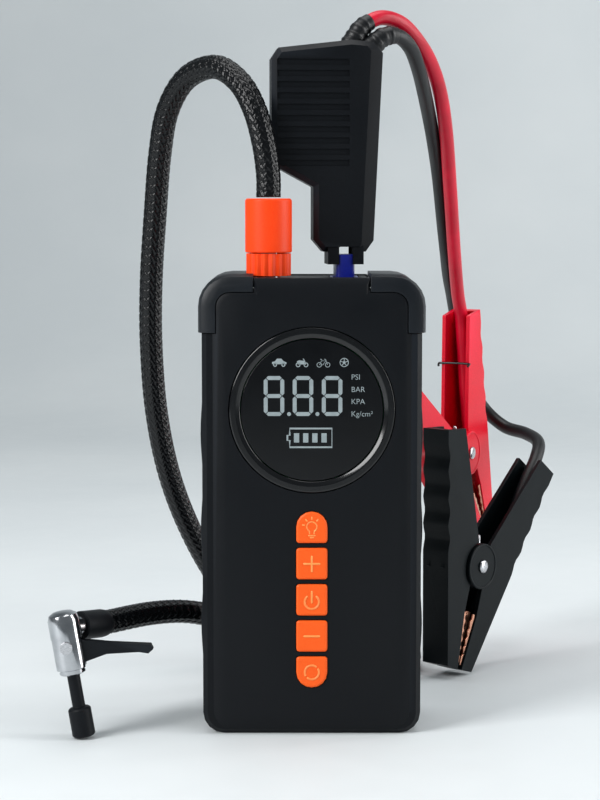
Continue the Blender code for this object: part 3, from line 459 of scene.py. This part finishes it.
def grid_faces(rings, around, capped=True):
    """Quads between closed rings of points, with a cap on the first and the last ring."""
    faces = []
    for ring in range(rings - 1):
        low, high = ring * around, (ring + 1) * around
        for i in range(around):
            after = (i + 1) % around
            faces.append((low + i, low + after, high + after, high + i))
    if capped:
        faces.append(tuple(range(around))[::-1])
        faces.append(tuple((rings - 1) * around + i for i in range(around)))
    return faces


def face_outwards(obj):
    mesh = bmesh.new()
    mesh.from_mesh(obj.data)
    bmesh.ops.recalc_face_normals(mesh, faces=mesh.faces)
    mesh.to_mesh(obj.data)
    mesh.free()


def put_in_place(obj, matrix):
    obj.data.transform(matrix)
    face_outwards(obj)
    return obj


def turned_points(profile, around):
    """A ring of points round the Z axis for each (radius, height) pair."""
    return [(radius * math.cos(math.tau * i / around), radius * math.sin(math.tau * i / around), height)
            for radius, height in profile for i in range(around)]


def turned_solid(name, profile, around, material, matrix):
    """A solid whose profile's first and last point are closed with a cap."""
    faces = grid_faces(len(profile), around)
    return put_in_place(new_object(name, turned_points(profile, around), faces, material), matrix)


def turned_ring(name, section, around, material, matrix):
    """A ring with a closed section."""
    faces = grid_faces(len(section), around, capped=False)
    last = (len(section) - 1) * around
    faces += [(last + i, last + (i + 1) % around, (i + 1) % around, i) for i in range(around)]
    return put_in_place(new_object(name, turned_points(section, around), faces, material), matrix)


def in_mm(pairs):
    return [(first * MM, second * MM) for first, second in pairs]


# ------------------------------------------------------------------------ cords

HOSE_RADIUS = 5.25 * MM
CABLE_RADIUS = 3.25 * MM

HOSE_ROUTE = (
    (-0.01835, -0.0055, 0.2275), (-0.01845, -0.0055, 0.2370), (-0.0202, -0.0054, 0.2500),
    (-0.0242, -0.0030, 0.2645), (-0.0310, 0.0045, 0.2765), (-0.0415, 0.0160, 0.2835),
    (-0.0545, 0.0290, 0.2795), (-0.0635, 0.0385, 0.2660), (-0.0675, 0.0440, 0.2470),
    (-0.0700, 0.0490, 0.2220), (-0.0725, 0.0540, 0.1900), (-0.0730, 0.0580, 0.1600),
    (-0.0710, 0.0630, 0.1280), (-0.0655, 0.0700, 0.0980), (-0.0560, 0.0800, 0.0700),
    (-0.0435, 0.0950, 0.0440), (-0.0280, 0.1120, 0.0220), (-0.0100, 0.1280, 0.0085),
    (0.0100, 0.1380, 0.0056), (0.0310, 0.1370, 0.0055), (0.0460, 0.1220, 0.0055),
    (0.0480, 0.1010, 0.0055), (0.0370, 0.0830, 0.0055), (0.0190, 0.0720, 0.0065),
    (0.0000, 0.0635, 0.0120), (-0.0200, 0.0530, 0.0240), (-0.0380, 0.0400, 0.0360),
    (-0.0540, 0.0255, 0.0430), (-0.0700, 0.0085, 0.0458), (-0.0884, -0.0120, 0.0459),
)
RED_ROUTE = (
    (0.0155, 0.0115, 0.2903), (0.0185, 0.0122, 0.2954), (0.0222, 0.0138, 0.3006),
    (0.0298, 0.0180, 0.3046), (0.0388, 0.0245, 0.3028), (0.0465, 0.0330, 0.2960),
    (0.0530, 0.0440, 0.2870), (0.0582, 0.0580, 0.2750), (0.0623, 0.0750, 0.2570),
    (0.0663, 0.1000, 0.2290), (0.0700, 0.1240, 0.2010), (0.0732, 0.1430, 0.1805),
    (0.0758, 0.1530, 0.1685), (0.0769, 0.1565, 0.1570), (0.0778, 0.1585, 0.1450),
    (0.0787, 0.1600, 0.1320), (0.0794, 0.1613, 0.1245), (0.0801, 0.1626, 0.1170),
    (0.0809, 0.1640, 0.1085),
)
BLACK_ROUTE = (
    (0.0230, 0.0123, 0.2897), (0.0270, 0.0126, 0.2932), (0.0318, 0.0140, 0.2964),
    (0.0380, 0.0180, 0.2964), (0.0432, 0.0250, 0.2920), (0.0468, 0.0350, 0.2850),
    (0.0500, 0.0480, 0.2765), (0.0545, 0.0700, 0.2625), (0.0575, 0.0840, 0.2510),
    (0.0608, 0.1010, 0.2360), (0.0643, 0.1210, 0.2150), (0.0668, 0.1350, 0.2010),
    (0.0690, 0.1490, 0.1895), (0.0720, 0.1630, 0.1780), (0.0750, 0.1740, 0.1645),
    (0.0780, 0.1815, 0.1490), (0.0820, 0.1860, 0.1335), (0.0900, 0.1870, 0.1190),
    (0.1005, 0.1815, 0.1095), (0.1105, 0.1700, 0.1070), (0.1155, 0.1570, 0.1040),
    (0.1132, 0.1452, 0.0975), (0.1076, 0.1363, 0.0875), (0.1022, 0.1296, 0.0756),
    (0.0972, 0.1238, 0.0650),
)


def smooth_line(route, spacing):
    """Points at even spacing along a smooth curve through the route's points, and its length."""
    knots = np.array(route)
    ends = np.vstack([2 * knots[0] - knots[1], knots, 2 * knots[-1] - knots[-2]])
    share = np.linspace(0, 1, 40, endpoint=False)[:, None]
    fine = []
    for before, start, stop, after in zip(ends, ends[1:], ends[2:], ends[3:]):
        bend = (2 * before - 5 * start + 4 * stop - after) * share ** 2
        twist = (3 * start - before - 3 * stop + after) * share ** 3
        fine.append((2 * start + (stop - before) * share + bend + twist) / 2)
    fine = np.vstack(fine + [knots[-1:]])
    along = np.concatenate([[0], np.cumsum(np.linalg.norm(np.diff(fine, axis=0), axis=1))])
    length = along[-1]
    places = np.linspace(0, length, max(2, round(length / spacing) + 1))
    line = np.stack([np.interp(places, along, fine[:, axis]) for axis in range(3)], axis=1)
    return line, length


def side_vectors(line):
    """Two unit vectors across the line at each point, which turn as little as they can."""
    along = np.gradient(line, axis=0)
    along /= np.linalg.norm(along, axis=1)[:, None]
    side = np.cross(along[0], (0.3, 1.0, 0.2))
    first = []
    for direction in along:
        side = side - direction * (side @ direction)
        side = side / np.linalg.norm(side)
        first.append(side)
    first = np.array(first)
    return first, np.cross(along, first)


def tube(name, line, radii, around, material):
    """A tube along a line. radii is one radius, one for each point, or one for each mesh vertex."""
    first, second = side_vectors(line)
    turn = np.arange(around) * math.tau / around
    if np.ndim(radii) == 1:
        radii = radii[:, None]
    radii = np.broadcast_to(radii, (len(line), around))
    across = first[:, None] * np.cos(turn)[:, None] + second[:, None] * np.sin(turn)[:, None]
    points = (line[:, None] + across * radii[..., None]).reshape(-1, 3)
    return new_object(name, points, grid_faces(len(line), around), material)


BRAID_STRANDS = 20
BRAID_PITCH = 2.0 * MM
BRAID_DEPTH = 0.6 * MM
POINTS_ACROSS_STRAND = 5
STRAND_FLATNESS = 0.7
STRAND_DIP = 0.38


def braid_heights(places, around):
    """How far the braid's surface stands out: two sets of strands, each over two and under two."""
    turn = np.arange(around)[None, :] / around
    one = turn * BRAID_STRANDS + places[:, None] / BRAID_PITCH
    other = turn * BRAID_STRANDS - places[:, None] / BRAID_PITCH
    heights = []
    for across, along, sign, start in ((one, other, 1, 0), (other, one, -1, 2)):
        strand = np.floor(across)
        crown = np.sin(np.pi * (across - strand)) ** STRAND_FLATNESS
        weave = np.cos(math.tau * (along - sign * strand + start) / 4)
        over = np.clip(1.6 * weave, -1, 1)
        heights.append(crown * (1 - STRAND_DIP + STRAND_DIP * over))
    return np.maximum(*heights)


def add_hose():
    line, length = smooth_line(HOSE_ROUTE, 0.45 * MM)
    around = POINTS_ACROSS_STRAND * BRAID_STRANDS
    places = np.linspace(0, length, len(line))
    heights = braid_heights(places, around)
    radii = HOSE_RADIUS - BRAID_DEPTH * (1 - heights)
    hose = tube("braided_hose", line, radii, around, "braid")
    piece(hose, "pack", "braid", "air_hose")


def add_cable(colour, route):
    line, length = smooth_line(route, 1.6 * MM)
    cable = tube(colour + "_cable_sleeve", line, CABLE_RADIUS, 32, colour + "_cable")
    piece(cable, "clamp_lead", colour + "_cable", colour + "_cable")


def add_cords():
    add_hose()
    add_cable("red", RED_ROUTE)
    add_cable("black", BLACK_ROUTE)


# ------------------------------------------------------- display and button icons

DISPLAY_CENTRE_Z = (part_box("display_lens")[0].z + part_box("display_lens")[1].z) / 2
GLASS_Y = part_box("display_lens")[0].y
PRINT_THICK = 0.03 * MM

# Places and sizes on the display are in millimetres, about the glass's centre.
DIGIT_SIZE = (8.6, 16.8)
DIGIT_STROKE = 1.65
SEGMENT_GAP = 0.22
DIGIT_PLACES = (-15.9, -3.75, 8.45)
DOT_PLACES = (-9.6, 2.3)
DIGIT_MIDDLE = 6.0
ICON_HEIGHT = 20.1


def arc(centre, radius, start, stop, steps=20):
    """Points on an arc, with angles in degrees from the right-hand side."""
    angles = [math.radians(start + (stop - start) * i / steps) for i in range(steps + 1)]
    return [(centre[0] + radius * math.cos(a), centre[1] + radius * math.sin(a)) for a in angles]


def ribbon(points, width, closed=False):
    """Quads along a line of points, as wide as width."""
    line = [Vector(point) for point in points]
    count = len(line)
    sides = []
    for i, point in enumerate(line):
        before = line[i - 1] if i or closed else line[i]
        after = line[(i + 1) % count] if i < count - 1 or closed else line[i]
        along = (after - before).normalized()
        out = Vector((-along.y, along.x)) * width / 2
        sides.append((point + out, point - out))
    spans = range(count if closed else count - 1)
    ends = [(sides[i], sides[(i + 1) % count]) for i in spans]
    return [(start[0], start[1], stop[1], stop[0]) for start, stop in ends]


def printed(name, outlines):
    """Flat marks on the display glass from outlines in millimetres about its centre."""
    points, faces = [], []
    for outline in outlines:
        start, count = len(points), len(outline)
        for y in (GLASS_Y - PRINT_THICK, GLASS_Y + PRINT_THICK):
            points += [(x * MM, y, DISPLAY_CENTRE_Z + z * MM) for x, z in outline]
        faces.append(tuple(range(start, start + count)))
        faces.append(tuple(range(start + count, start + 2 * count))[::-1])
        for i in range(count):
            after = (i + 1) % count
            faces.append((start + after, start + i, start + count + i, start + count + after))
    marks = new_object(name, points, faces, "print", smooth=False)
    face_outwards(marks)
    piece(marks, "pack", "gloss_black")


def segment(start, stop):
    """A display segment with pointed ends."""
    start, stop = Vector(start), Vector(stop)
    along = (stop - start).normalized()
    out = Vector((-along.y, along.x)) * DIGIT_STROKE / 2
    tip = along * DIGIT_STROKE / 2
    return [start, start + tip + out, stop - tip + out, stop, stop - tip - out, start + tip - out]


def digit_outlines(x):
    """The seven segments of a digit with its middle at x."""
    half_width = (DIGIT_SIZE[0] - DIGIT_STROKE) / 2
    half_height = (DIGIT_SIZE[1] - DIGIT_STROKE) / 2
    left, right = x - half_width, x + half_width
    low, middle, high = DIGIT_MIDDLE - half_height, DIGIT_MIDDLE, DIGIT_MIDDLE + half_height
    level = [segment((left + SEGMENT_GAP, z), (right - SEGMENT_GAP, z)) for z in (low, middle, high)]
    upright = [segment((side, start + SEGMENT_GAP), (side, stop - SEGMENT_GAP))
               for side in (left, right) for start, stop in ((low, middle), (middle, high))]
    return level + upright


def add_digits():
    outlines = [outline for x in DIGIT_PLACES for outline in digit_outlines(x)]
    low = DIGIT_MIDDLE - DIGIT_SIZE[1] / 2 + DIGIT_STROKE / 2
    outlines += [circle((x, low), DIGIT_STROKE / 2) for x in DOT_PLACES]
    printed("display_digits", outlines)


def add_battery_sign():
    """A lying battery with its pole on the left, and four bars in it."""
    left, right, low, high = -9.3, 8.4, -15.6, -7.7
    pole_left, pole_low, pole_high = left - 1.0, (low + high) / 2 - 1.1, (low + high) / 2 + 1.1
    outside = [(left, low), (right, low), (right, high), (left, high), (left, pole_high),
               (pole_left, pole_high), (pole_left, pole_low), (left, pole_low)]
    outlines = ribbon(outside, 0.75, closed=True)
    bar_width, margin = 2.2, 2
    bottom, top = low + margin, high - margin
    for i in range(4):
        start = left + 1.75 + i * (right - left) / 4.6
        stop = start + bar_width
        outlines.append([(start, bottom), (stop, bottom), (stop, top), (start, top)])
    printed("display_battery_sign", outlines)


def moved(x, points):
    """A sign's points, moved to its place in the row of signs."""
    return [(x + right, ICON_HEIGHT + up) for right, up in points]


def circle(centre, radius):
    """Twenty-four points on a circle, without a second one where it closes."""
    return arc(centre, radius, 0, 345, 23)


def wheels(x, spread, radius, line):
    """A vehicle sign's two wheels, each at spread from its middle."""
    outlines = []
    for side in (-spread, spread):
        outlines += ribbon(circle((x + side, ICON_HEIGHT - 1.0), radius), line, closed=True)
    return outlines


def car_sign(x):
    side_view = [(-3, -0.7), (3, -0.7), (3, 0.1), (1.9, 0.5), (0.9, 1.6), (-0.9, 1.6), (-1.8, 0.5),
                 (-3, 0.2)]
    return wheels(x, 1.75, 0.62, 0.4) + [moved(x, side_view)]


def motorbike_sign(x):
    tank_and_seat = [(-1.7, -0.8), (0.9, -0.8), (1.0, 0.7), (-1.3, 0.9), (-2.2, 0.4)]
    fork = [(1.6, -0.9), (0.9, 1.0), (0.4, 1.6)]
    return wheels(x, 1.65, 0.8, 0.35) + [moved(x, tank_and_seat)] + ribbon(moved(x, fork), 0.35)


def bicycle_sign(x):
    tubes = [(-1.7, -1.0), (-0.8, 0.7), (1.0, 0.7), (-0.2, -1.0)]
    fork = [(1.7, -1.0), (0.9, 1.3), (0.3, 1.4)]
    saddle = [(-0.6, 1.3), (-1.3, 1.3)]
    outlines = wheels(x, 1.75, 0.95, 0.25) + ribbon(moved(x, tubes), 0.25, closed=True)
    return outlines + ribbon(moved(x, fork), 0.25) + ribbon(moved(x, saddle), 0.3)


def ball_sign(x):
    """A circle with a pentagon in its middle, and a seam from each of its corners."""
    centre, line = (x, ICON_HEIGHT), 0.3
    outlines = ribbon(circle(centre, 1.75), line, closed=True)
    outlines.append(arc(centre, 0.7, 90, 378, 4))
    for i in range(5):
        angle = 90 + 72 * i
        outlines += ribbon([arc(centre, radius, angle, angle, 1)[0] for radius in (0.7, 1.7)], line)
    return outlines


def add_vehicle_signs():
    printed("display_car_sign", car_sign(-13.7))
    printed("display_motorbike_sign", motorbike_sign(-4.15))
    printed("display_bicycle_sign", bicycle_sign(4.8))
    printed("display_ball_sign", ball_sign(13.5))


UNITS = (("PSI", 12.9), ("BAR", 7.7), ("KPA", 2.6), ("Kg/cm\u00b2", -2.6))
UNITS_LEFT = 16.4
LETTER_SIZE = 3.2
LETTER_THINNED = 0.02


def add_units():
    """The names of pressure units, as on any gauge."""
    for i, (words, height) in enumerate(UNITS, 1):
        curve = bpy.data.curves.new(f"unit_words_{i}", "FONT")
        curve.body = words
        curve.size = LETTER_SIZE * MM
        curve.offset = -LETTER_THINNED * MM
        curve.extrude = PRINT_THICK
        curve.resolution_u = 4
        text = bpy.data.objects.new(f"unit_words_{i}", curve)
        scene.collection.objects.link(text)
        bpy.context.view_layer.update()
        evaluated = text.evaluated_get(bpy.context.evaluated_depsgraph_get())
        mesh = bpy.data.meshes.new_from_object(evaluated)
        bpy.data.objects.remove(text)
        mesh.materials.clear()
        mesh.materials.append(materials["print"])
        unit = bpy.data.objects.new(f"display_unit_{i}", mesh)
        unit.location = (UNITS_LEFT * MM, GLASS_Y, DISPLAY_CENTRE_Z + height * MM)
        unit.rotation_euler = (math.pi / 2, 0, 0)
        scene.collection.objects.link(unit)
        piece(unit, "pack", "gloss_black")


ICON_RADIUS = 0.5 * MM
ICON_SUNK = 0.2 * MM


def lamp_strokes():
    """A bulb on two lines, with four rays round it."""
    glass = (0, 0.3)
    neck_right = [(1.0, -1.9), (0.95, -2.6)]
    neck_left = [(-0.95, -2.6), (-1.0, -1.9)]
    bulb = neck_left + arc(glass, 2.1, 238, -58, 28) + neck_right
    rays = [[arc(glass, radius, angle, angle, 1)[0] for radius in (3.2, 4.0)]
            for angle in (168, 130, 90, 50)]
    return [bulb, [(-1.3, -3.45), (1.3, -3.45)], [(-0.6, -4.3), (0.6, -4.3)]] + rays


def icon_strokes():
    """The raised lines on each button, in millimetres about its centre."""
    return {
        "light": lamp_strokes(),
        "plus": [[(-3.2, 0), (3.2, 0)], [(0, -3.1), (0, 3.1)]],
        "power": [arc((0, -0.75), 3.0, 132, 408, 36), [(0, -0.9), (0, 3.6)]],
        "minus": [[(-3.1, 0), (3.1, 0)]],
        "mode": [arc((0, 0), 3.0, 55, 205, 24), arc((0, 0), 3.0, 235, 385, 24)],
    }


def rounded_stroke(name, line, radius, material):
    """A tube with rounded ends."""
    line = np.array(line, float)
    first, last = line[0] - line[1], line[-1] - line[-2]
    first, last = first / np.linalg.norm(first), last / np.linalg.norm(last)
    rounding = (0.15, 0.5, 0.8, 1.0)
    reach = [math.sqrt(1 - share ** 2) * radius for share in rounding]
    before = [line[0] + first * step for step in reach[:-1]]
    after = [line[-1] + last * step for step in reach[:-1]][::-1]
    radii = [radius * share for share in rounding[:-1]] + [radius] * len(line)
    radii += [radius * share for share in rounding[:-1]][::-1]
    return tube(name, np.vstack([before, line, after]), np.array(radii), 14, material)


def add_button_icons():
    for button, strokes in icon_strokes().items():
        low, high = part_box("button_" + button)
        middle = (low + high) / 2
        for i, stroke in enumerate(strokes, 1):
            radius = ICON_RADIUS * (0.7 if button == "light" else 1.0)
            line = [(middle.x + x * MM, low.y + ICON_SUNK, middle.z + z * MM) for x, z in stroke]
            # The strokes take the paler orange, a painted highlight on the raised lines.
            mark = rounded_stroke(f"{button}_icon_{i}", line, radius, "highlit_icon")
            piece(mark, "button_" + button, "orange")


# The bezel's section, as (radius, distance forward) in millimetres.
BEZEL_OUTSIDE = [(34.9, 20.9), (34.9, 24.3), (34.8, 24.75), (34.55, 25.05), (34.2, 25.2), (34.0, 25.2)]
BEZEL_INSIDE = [(32.3, 25.2), (32.1, 25.2), (31.85, 25.12), (31.6, 24.98), (30.5, 24.42), (30.3, 24.25),
                (30.2, 24.0), (30.2, 20.9)]


def add_bezel():
    """The rim round the glass, turned finely from its section."""
    forward = Matrix.Translation((0, 0, DISPLAY_CENTRE_Z)) @ Matrix.Rotation(math.pi / 2, 4, "X")
    rim = turned_ring("turned_bezel", in_mm(BEZEL_OUTSIDE + BEZEL_INSIDE), 180, "bezel", forward)
    piece(rim, "pack", "gloss_black", "display_bezel")


def add_display():
    add_bezel()
    add_digits()
    add_battery_sign()
    add_vehicle_signs()
    add_units()


# ---------------------------------------------------------------- clamp details

# The clamps' sizes are in millimetres, in the frame that clamp_frame describes.
JAW_TIP, JAW_LENGTH = -47.0, 25.0
JAW_END = JAW_TIP + JAW_LENGTH
TEETH = 6
JAW_FACE = 6.6


def clamp_frame(colour):
    """A clamp's frame: X across its jaws, Y along its pin, Z towards its handles."""
    hinge = joints[colour + "_clamp_squeeze"]
    axis, pivot = Vector(hinge["axis"]), Vector(hinge["pos_m"])
    turn = math.atan2(-axis.x, axis.y)
    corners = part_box(colour + "_fixed_jaw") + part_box(colour + "_moving_jaw")
    jaws = sum(corners, Vector()) / len(corners) - pivot
    level = Matrix.Rotation(-turn, 3, "Z") @ jaws
    lean = math.atan2(-level.x, -level.z)
    return Matrix.Translation(pivot) @ Matrix.Rotation(turn, 4, "Z") @ Matrix.Rotation(lean, 4, "Y")


def extruded(name, outline, half_depth, material, matrix):
    """A block from an outline in X and Z, in millimetres, to both sides of its middle."""
    count = len(outline)
    points = [(x * MM, y * MM, z * MM) for y in (-half_depth, half_depth) for x, z in outline]
    faces = [tuple(range(count)), tuple(range(count, 2 * count))[::-1]]
    faces += [((i + 1) % count, i, count + i, count + (i + 1) % count) for i in range(count)]
    return put_in_place(new_object(name, points, faces, material, smooth=False), matrix)


def jaw_strip(name, side, frame_matrix):
    """A folded copper strip: rounded teeth along its inner edge and a flat back."""
    tooth = [(0.35, 0.9), (0.5, 1.6), (1.9, 2.6), (2.1, 3.2), (1.4, 3.9)]
    pitch = JAW_LENGTH / TEETH
    teeth = [(x, JAW_TIP + i * pitch + z) for i in range(TEETH) for x, z in tooth]
    outline = [(5.0, JAW_END), (6.3, JAW_TIP)] + teeth + [(2.6, JAW_END)]
    strip = extruded(name, [(side * x, z) for x, z in outline], 3.9, "copper", frame_matrix)
    add_soft_edges(strip, 0.25 * MM, 30)
    return strip


def jaw_lips(name, side, frame_matrix):
    """The copper strip's two folded edges, which show in front of and behind the jaws."""
    inner = [(0.45, -46.6), (0.7, -44.0), (1.9, -42.6), (0.9, -40.0), (2.1, -38.4), (1.2, -35.8),
             (2.3, -34.2), (1.5, -31.6), (2.6, -30.0), (2.0, -27.2), (3.0, -25.6), (2.8, -23.0)]
    outer = [(4.5, -23.0), (4.55, -24.2), (1.35, -48.2)]
    outline = [(side * x, z) for x, z in inner + outer]
    lips = []
    for face_name, face in (("front", -1), ("back", 1)):
        at_face = frame_matrix @ Matrix.Translation((0, face * JAW_FACE * MM, 0))
        lip = extruded(f"{name}_{face_name}", outline, 0.35, "copper", at_face)
        add_soft_edges(lip, 0.12 * MM, 30)
        lips.append(lip)
    return lips


def torsion_spring(name, frame_matrix):
    """A coil round the pin, with a straight leg along each handle."""
    coil_radius, turns, width, steps = 4.2, 3.5, 4.6, 110
    leg = [(coil_radius - 3.0, 15.0), (coil_radius - 0.5, 6.0)]
    line = [(x, -width / 2, z) for x, z in leg]
    for i in range(steps + 1):
        angle = math.tau * turns * i / steps
        along_pin = -width / 2 + width * i / steps
        line.append((coil_radius * math.cos(angle), along_pin, coil_radius * math.sin(angle)))
    line += [(-x, width / 2, z) for x, z in reversed(leg)]
    points = np.array([frame_matrix @ (Vector(point) * MM) for point in line])
    return tube(name, points, 0.6 * MM, 12, "steel")


RIVET_HALF_LENGTH = 9.6
RIVET_SHANK = 2.3
RIVET_HEAD = 3.1
HEAD_EDGE = 0.5
DOME_HEIGHT = 0.8
PIVOT_DISC_FACE = 8.9
RIM_SECTION = [(9.7, -0.5), (9.8, 0.15), (10.1, 0.3), (10.6, 0.3), (10.85, 0.1), (10.95, -0.5)]


def rivet_profile():
    """A rivet's outline from tail to head, with a dome on both ends."""
    dome = [(RIVET_HEAD * math.cos(angle), RIVET_HALF_LENGTH + DOME_HEIGHT * math.sin(angle))
            for angle in map(math.radians, (0, 25, 50, 72, 88))]
    under_head = RIVET_HALF_LENGTH - HEAD_EDGE
    head = [(RIVET_HEAD, under_head)] + dome
    tail = [(radius, -height) for radius, height in reversed(head)]
    return in_mm(tail + [(RIVET_SHANK, -under_head), (RIVET_SHANK, under_head)] + head)


def add_rivet(colour, frame_matrix):
    along_pin = frame_matrix @ Matrix.Rotation(math.pi / 2, 4, "X")
    rivet = turned_solid(colour + "_rivet", rivet_profile(), 40, "steel", along_pin)
    piece(rivet, "clamp_lead", "steel", colour + "_pin")


def add_disc_rims(colour, material, frame_matrix):
    """A raised rim round each of the fixed arm's two pivot discs."""
    for side, face in (("front", -1), ("back", 1)):
        matrix = frame_matrix @ Matrix.Translation((0, face * PIVOT_DISC_FACE * MM, 0))
        matrix = matrix @ Matrix.Rotation(-face * math.pi / 2, 4, "X")
        rim = turned_ring(f"{colour}_disc_rim_{side}", in_mm(RIM_SECTION), 56, material, matrix)
        piece(rim, "clamp_lead", material)


def add_clamps():
    for colour, material in (("red", "red"), ("black", "black_clamp")):
        frame_matrix = clamp_frame(colour)
        add_rivet(colour, frame_matrix)
        add_disc_rims(colour, material, frame_matrix)
        spring = torsion_spring(colour + "_torsion_spring", frame_matrix)
        piece(spring, "clamp_lead", "steel", colour + "_spring")
        for name, side, body in (("fixed", 1, "clamp_lead"), ("moving", -1, colour + "_moving_arm")):
            strip = jaw_strip(f"{colour}_{name}_copper_strip", side, frame_matrix)
            piece(strip, body, "copper", f"{colour}_{name}_jaw")
            for lip in jaw_lips(f"{colour}_{name}_copper_lip", side, frame_matrix):
                piece(lip, body, "copper")


def add_wire_clip():
    """A bent wire across the mouth of the red clamp's cable channel, with its ends turned in."""
    low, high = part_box("red_cable_clip")
    frame_matrix = clamp_frame("red")
    centre = frame_matrix.inverted() @ ((low + high) / 2)
    half = [(-1.8, -7.9, -0.3), (-0.6, -8.3, 0), (0.2, -8.2, 0), (0.4, -6.5, 0)]
    line = half + [(0.6, 0, 0)] + [(x, -y, z) for x, y, z in reversed(half)]
    points, _ = smooth_line([frame_matrix @ (centre + Vector(point) * MM) for point in line], 0.5 * MM)
    wire = tube("red_wire_clip", points, 0.55 * MM, 14, "gloss_black")
    piece(wire, "clamp_lead", "chrome", "red_cable_clip")


# --------------------------------------------------------------- strain reliefs

RELIEF_LENGTH = 17.0
RELIEF_WALL_START, RELIEF_WALL_END = 1.5, 0.4
RELIEF_RINGS = 5
RING_HEIGHT = 0.28


def add_strain_relief(name, route):
    """A tapered sleeve with rings, where a cable leaves the module."""
    spacing = 0.4
    line, _ = smooth_line(route[:5], spacing * MM)
    line = line[:round(RELIEF_LENGTH / spacing)]
    share = np.linspace(0, 1, len(line))
    wall = RELIEF_WALL_START + (RELIEF_WALL_END - RELIEF_WALL_START) * share
    on_ring = (np.cos(math.tau * RELIEF_RINGS * share) > 0.2) & (share > 0.1) & (share < 0.9)
    radii = CABLE_RADIUS + (wall + RING_HEIGHT * on_ring) * MM
    piece(tube(name, line, radii, 36, "black_cable"), "clamp_lead", "black_cable")


# ------------------------------------------------------------------ the object

add_camera()
add_cords()
add_lights()
add_floor()
finish_cad_nodes()
add_display()
add_button_icons()
add_clamps()
add_wire_clip()
add_strain_relief("red_strain_relief", RED_ROUTE)
add_strain_relief("black_strain_relief", BLACK_ROUTE)

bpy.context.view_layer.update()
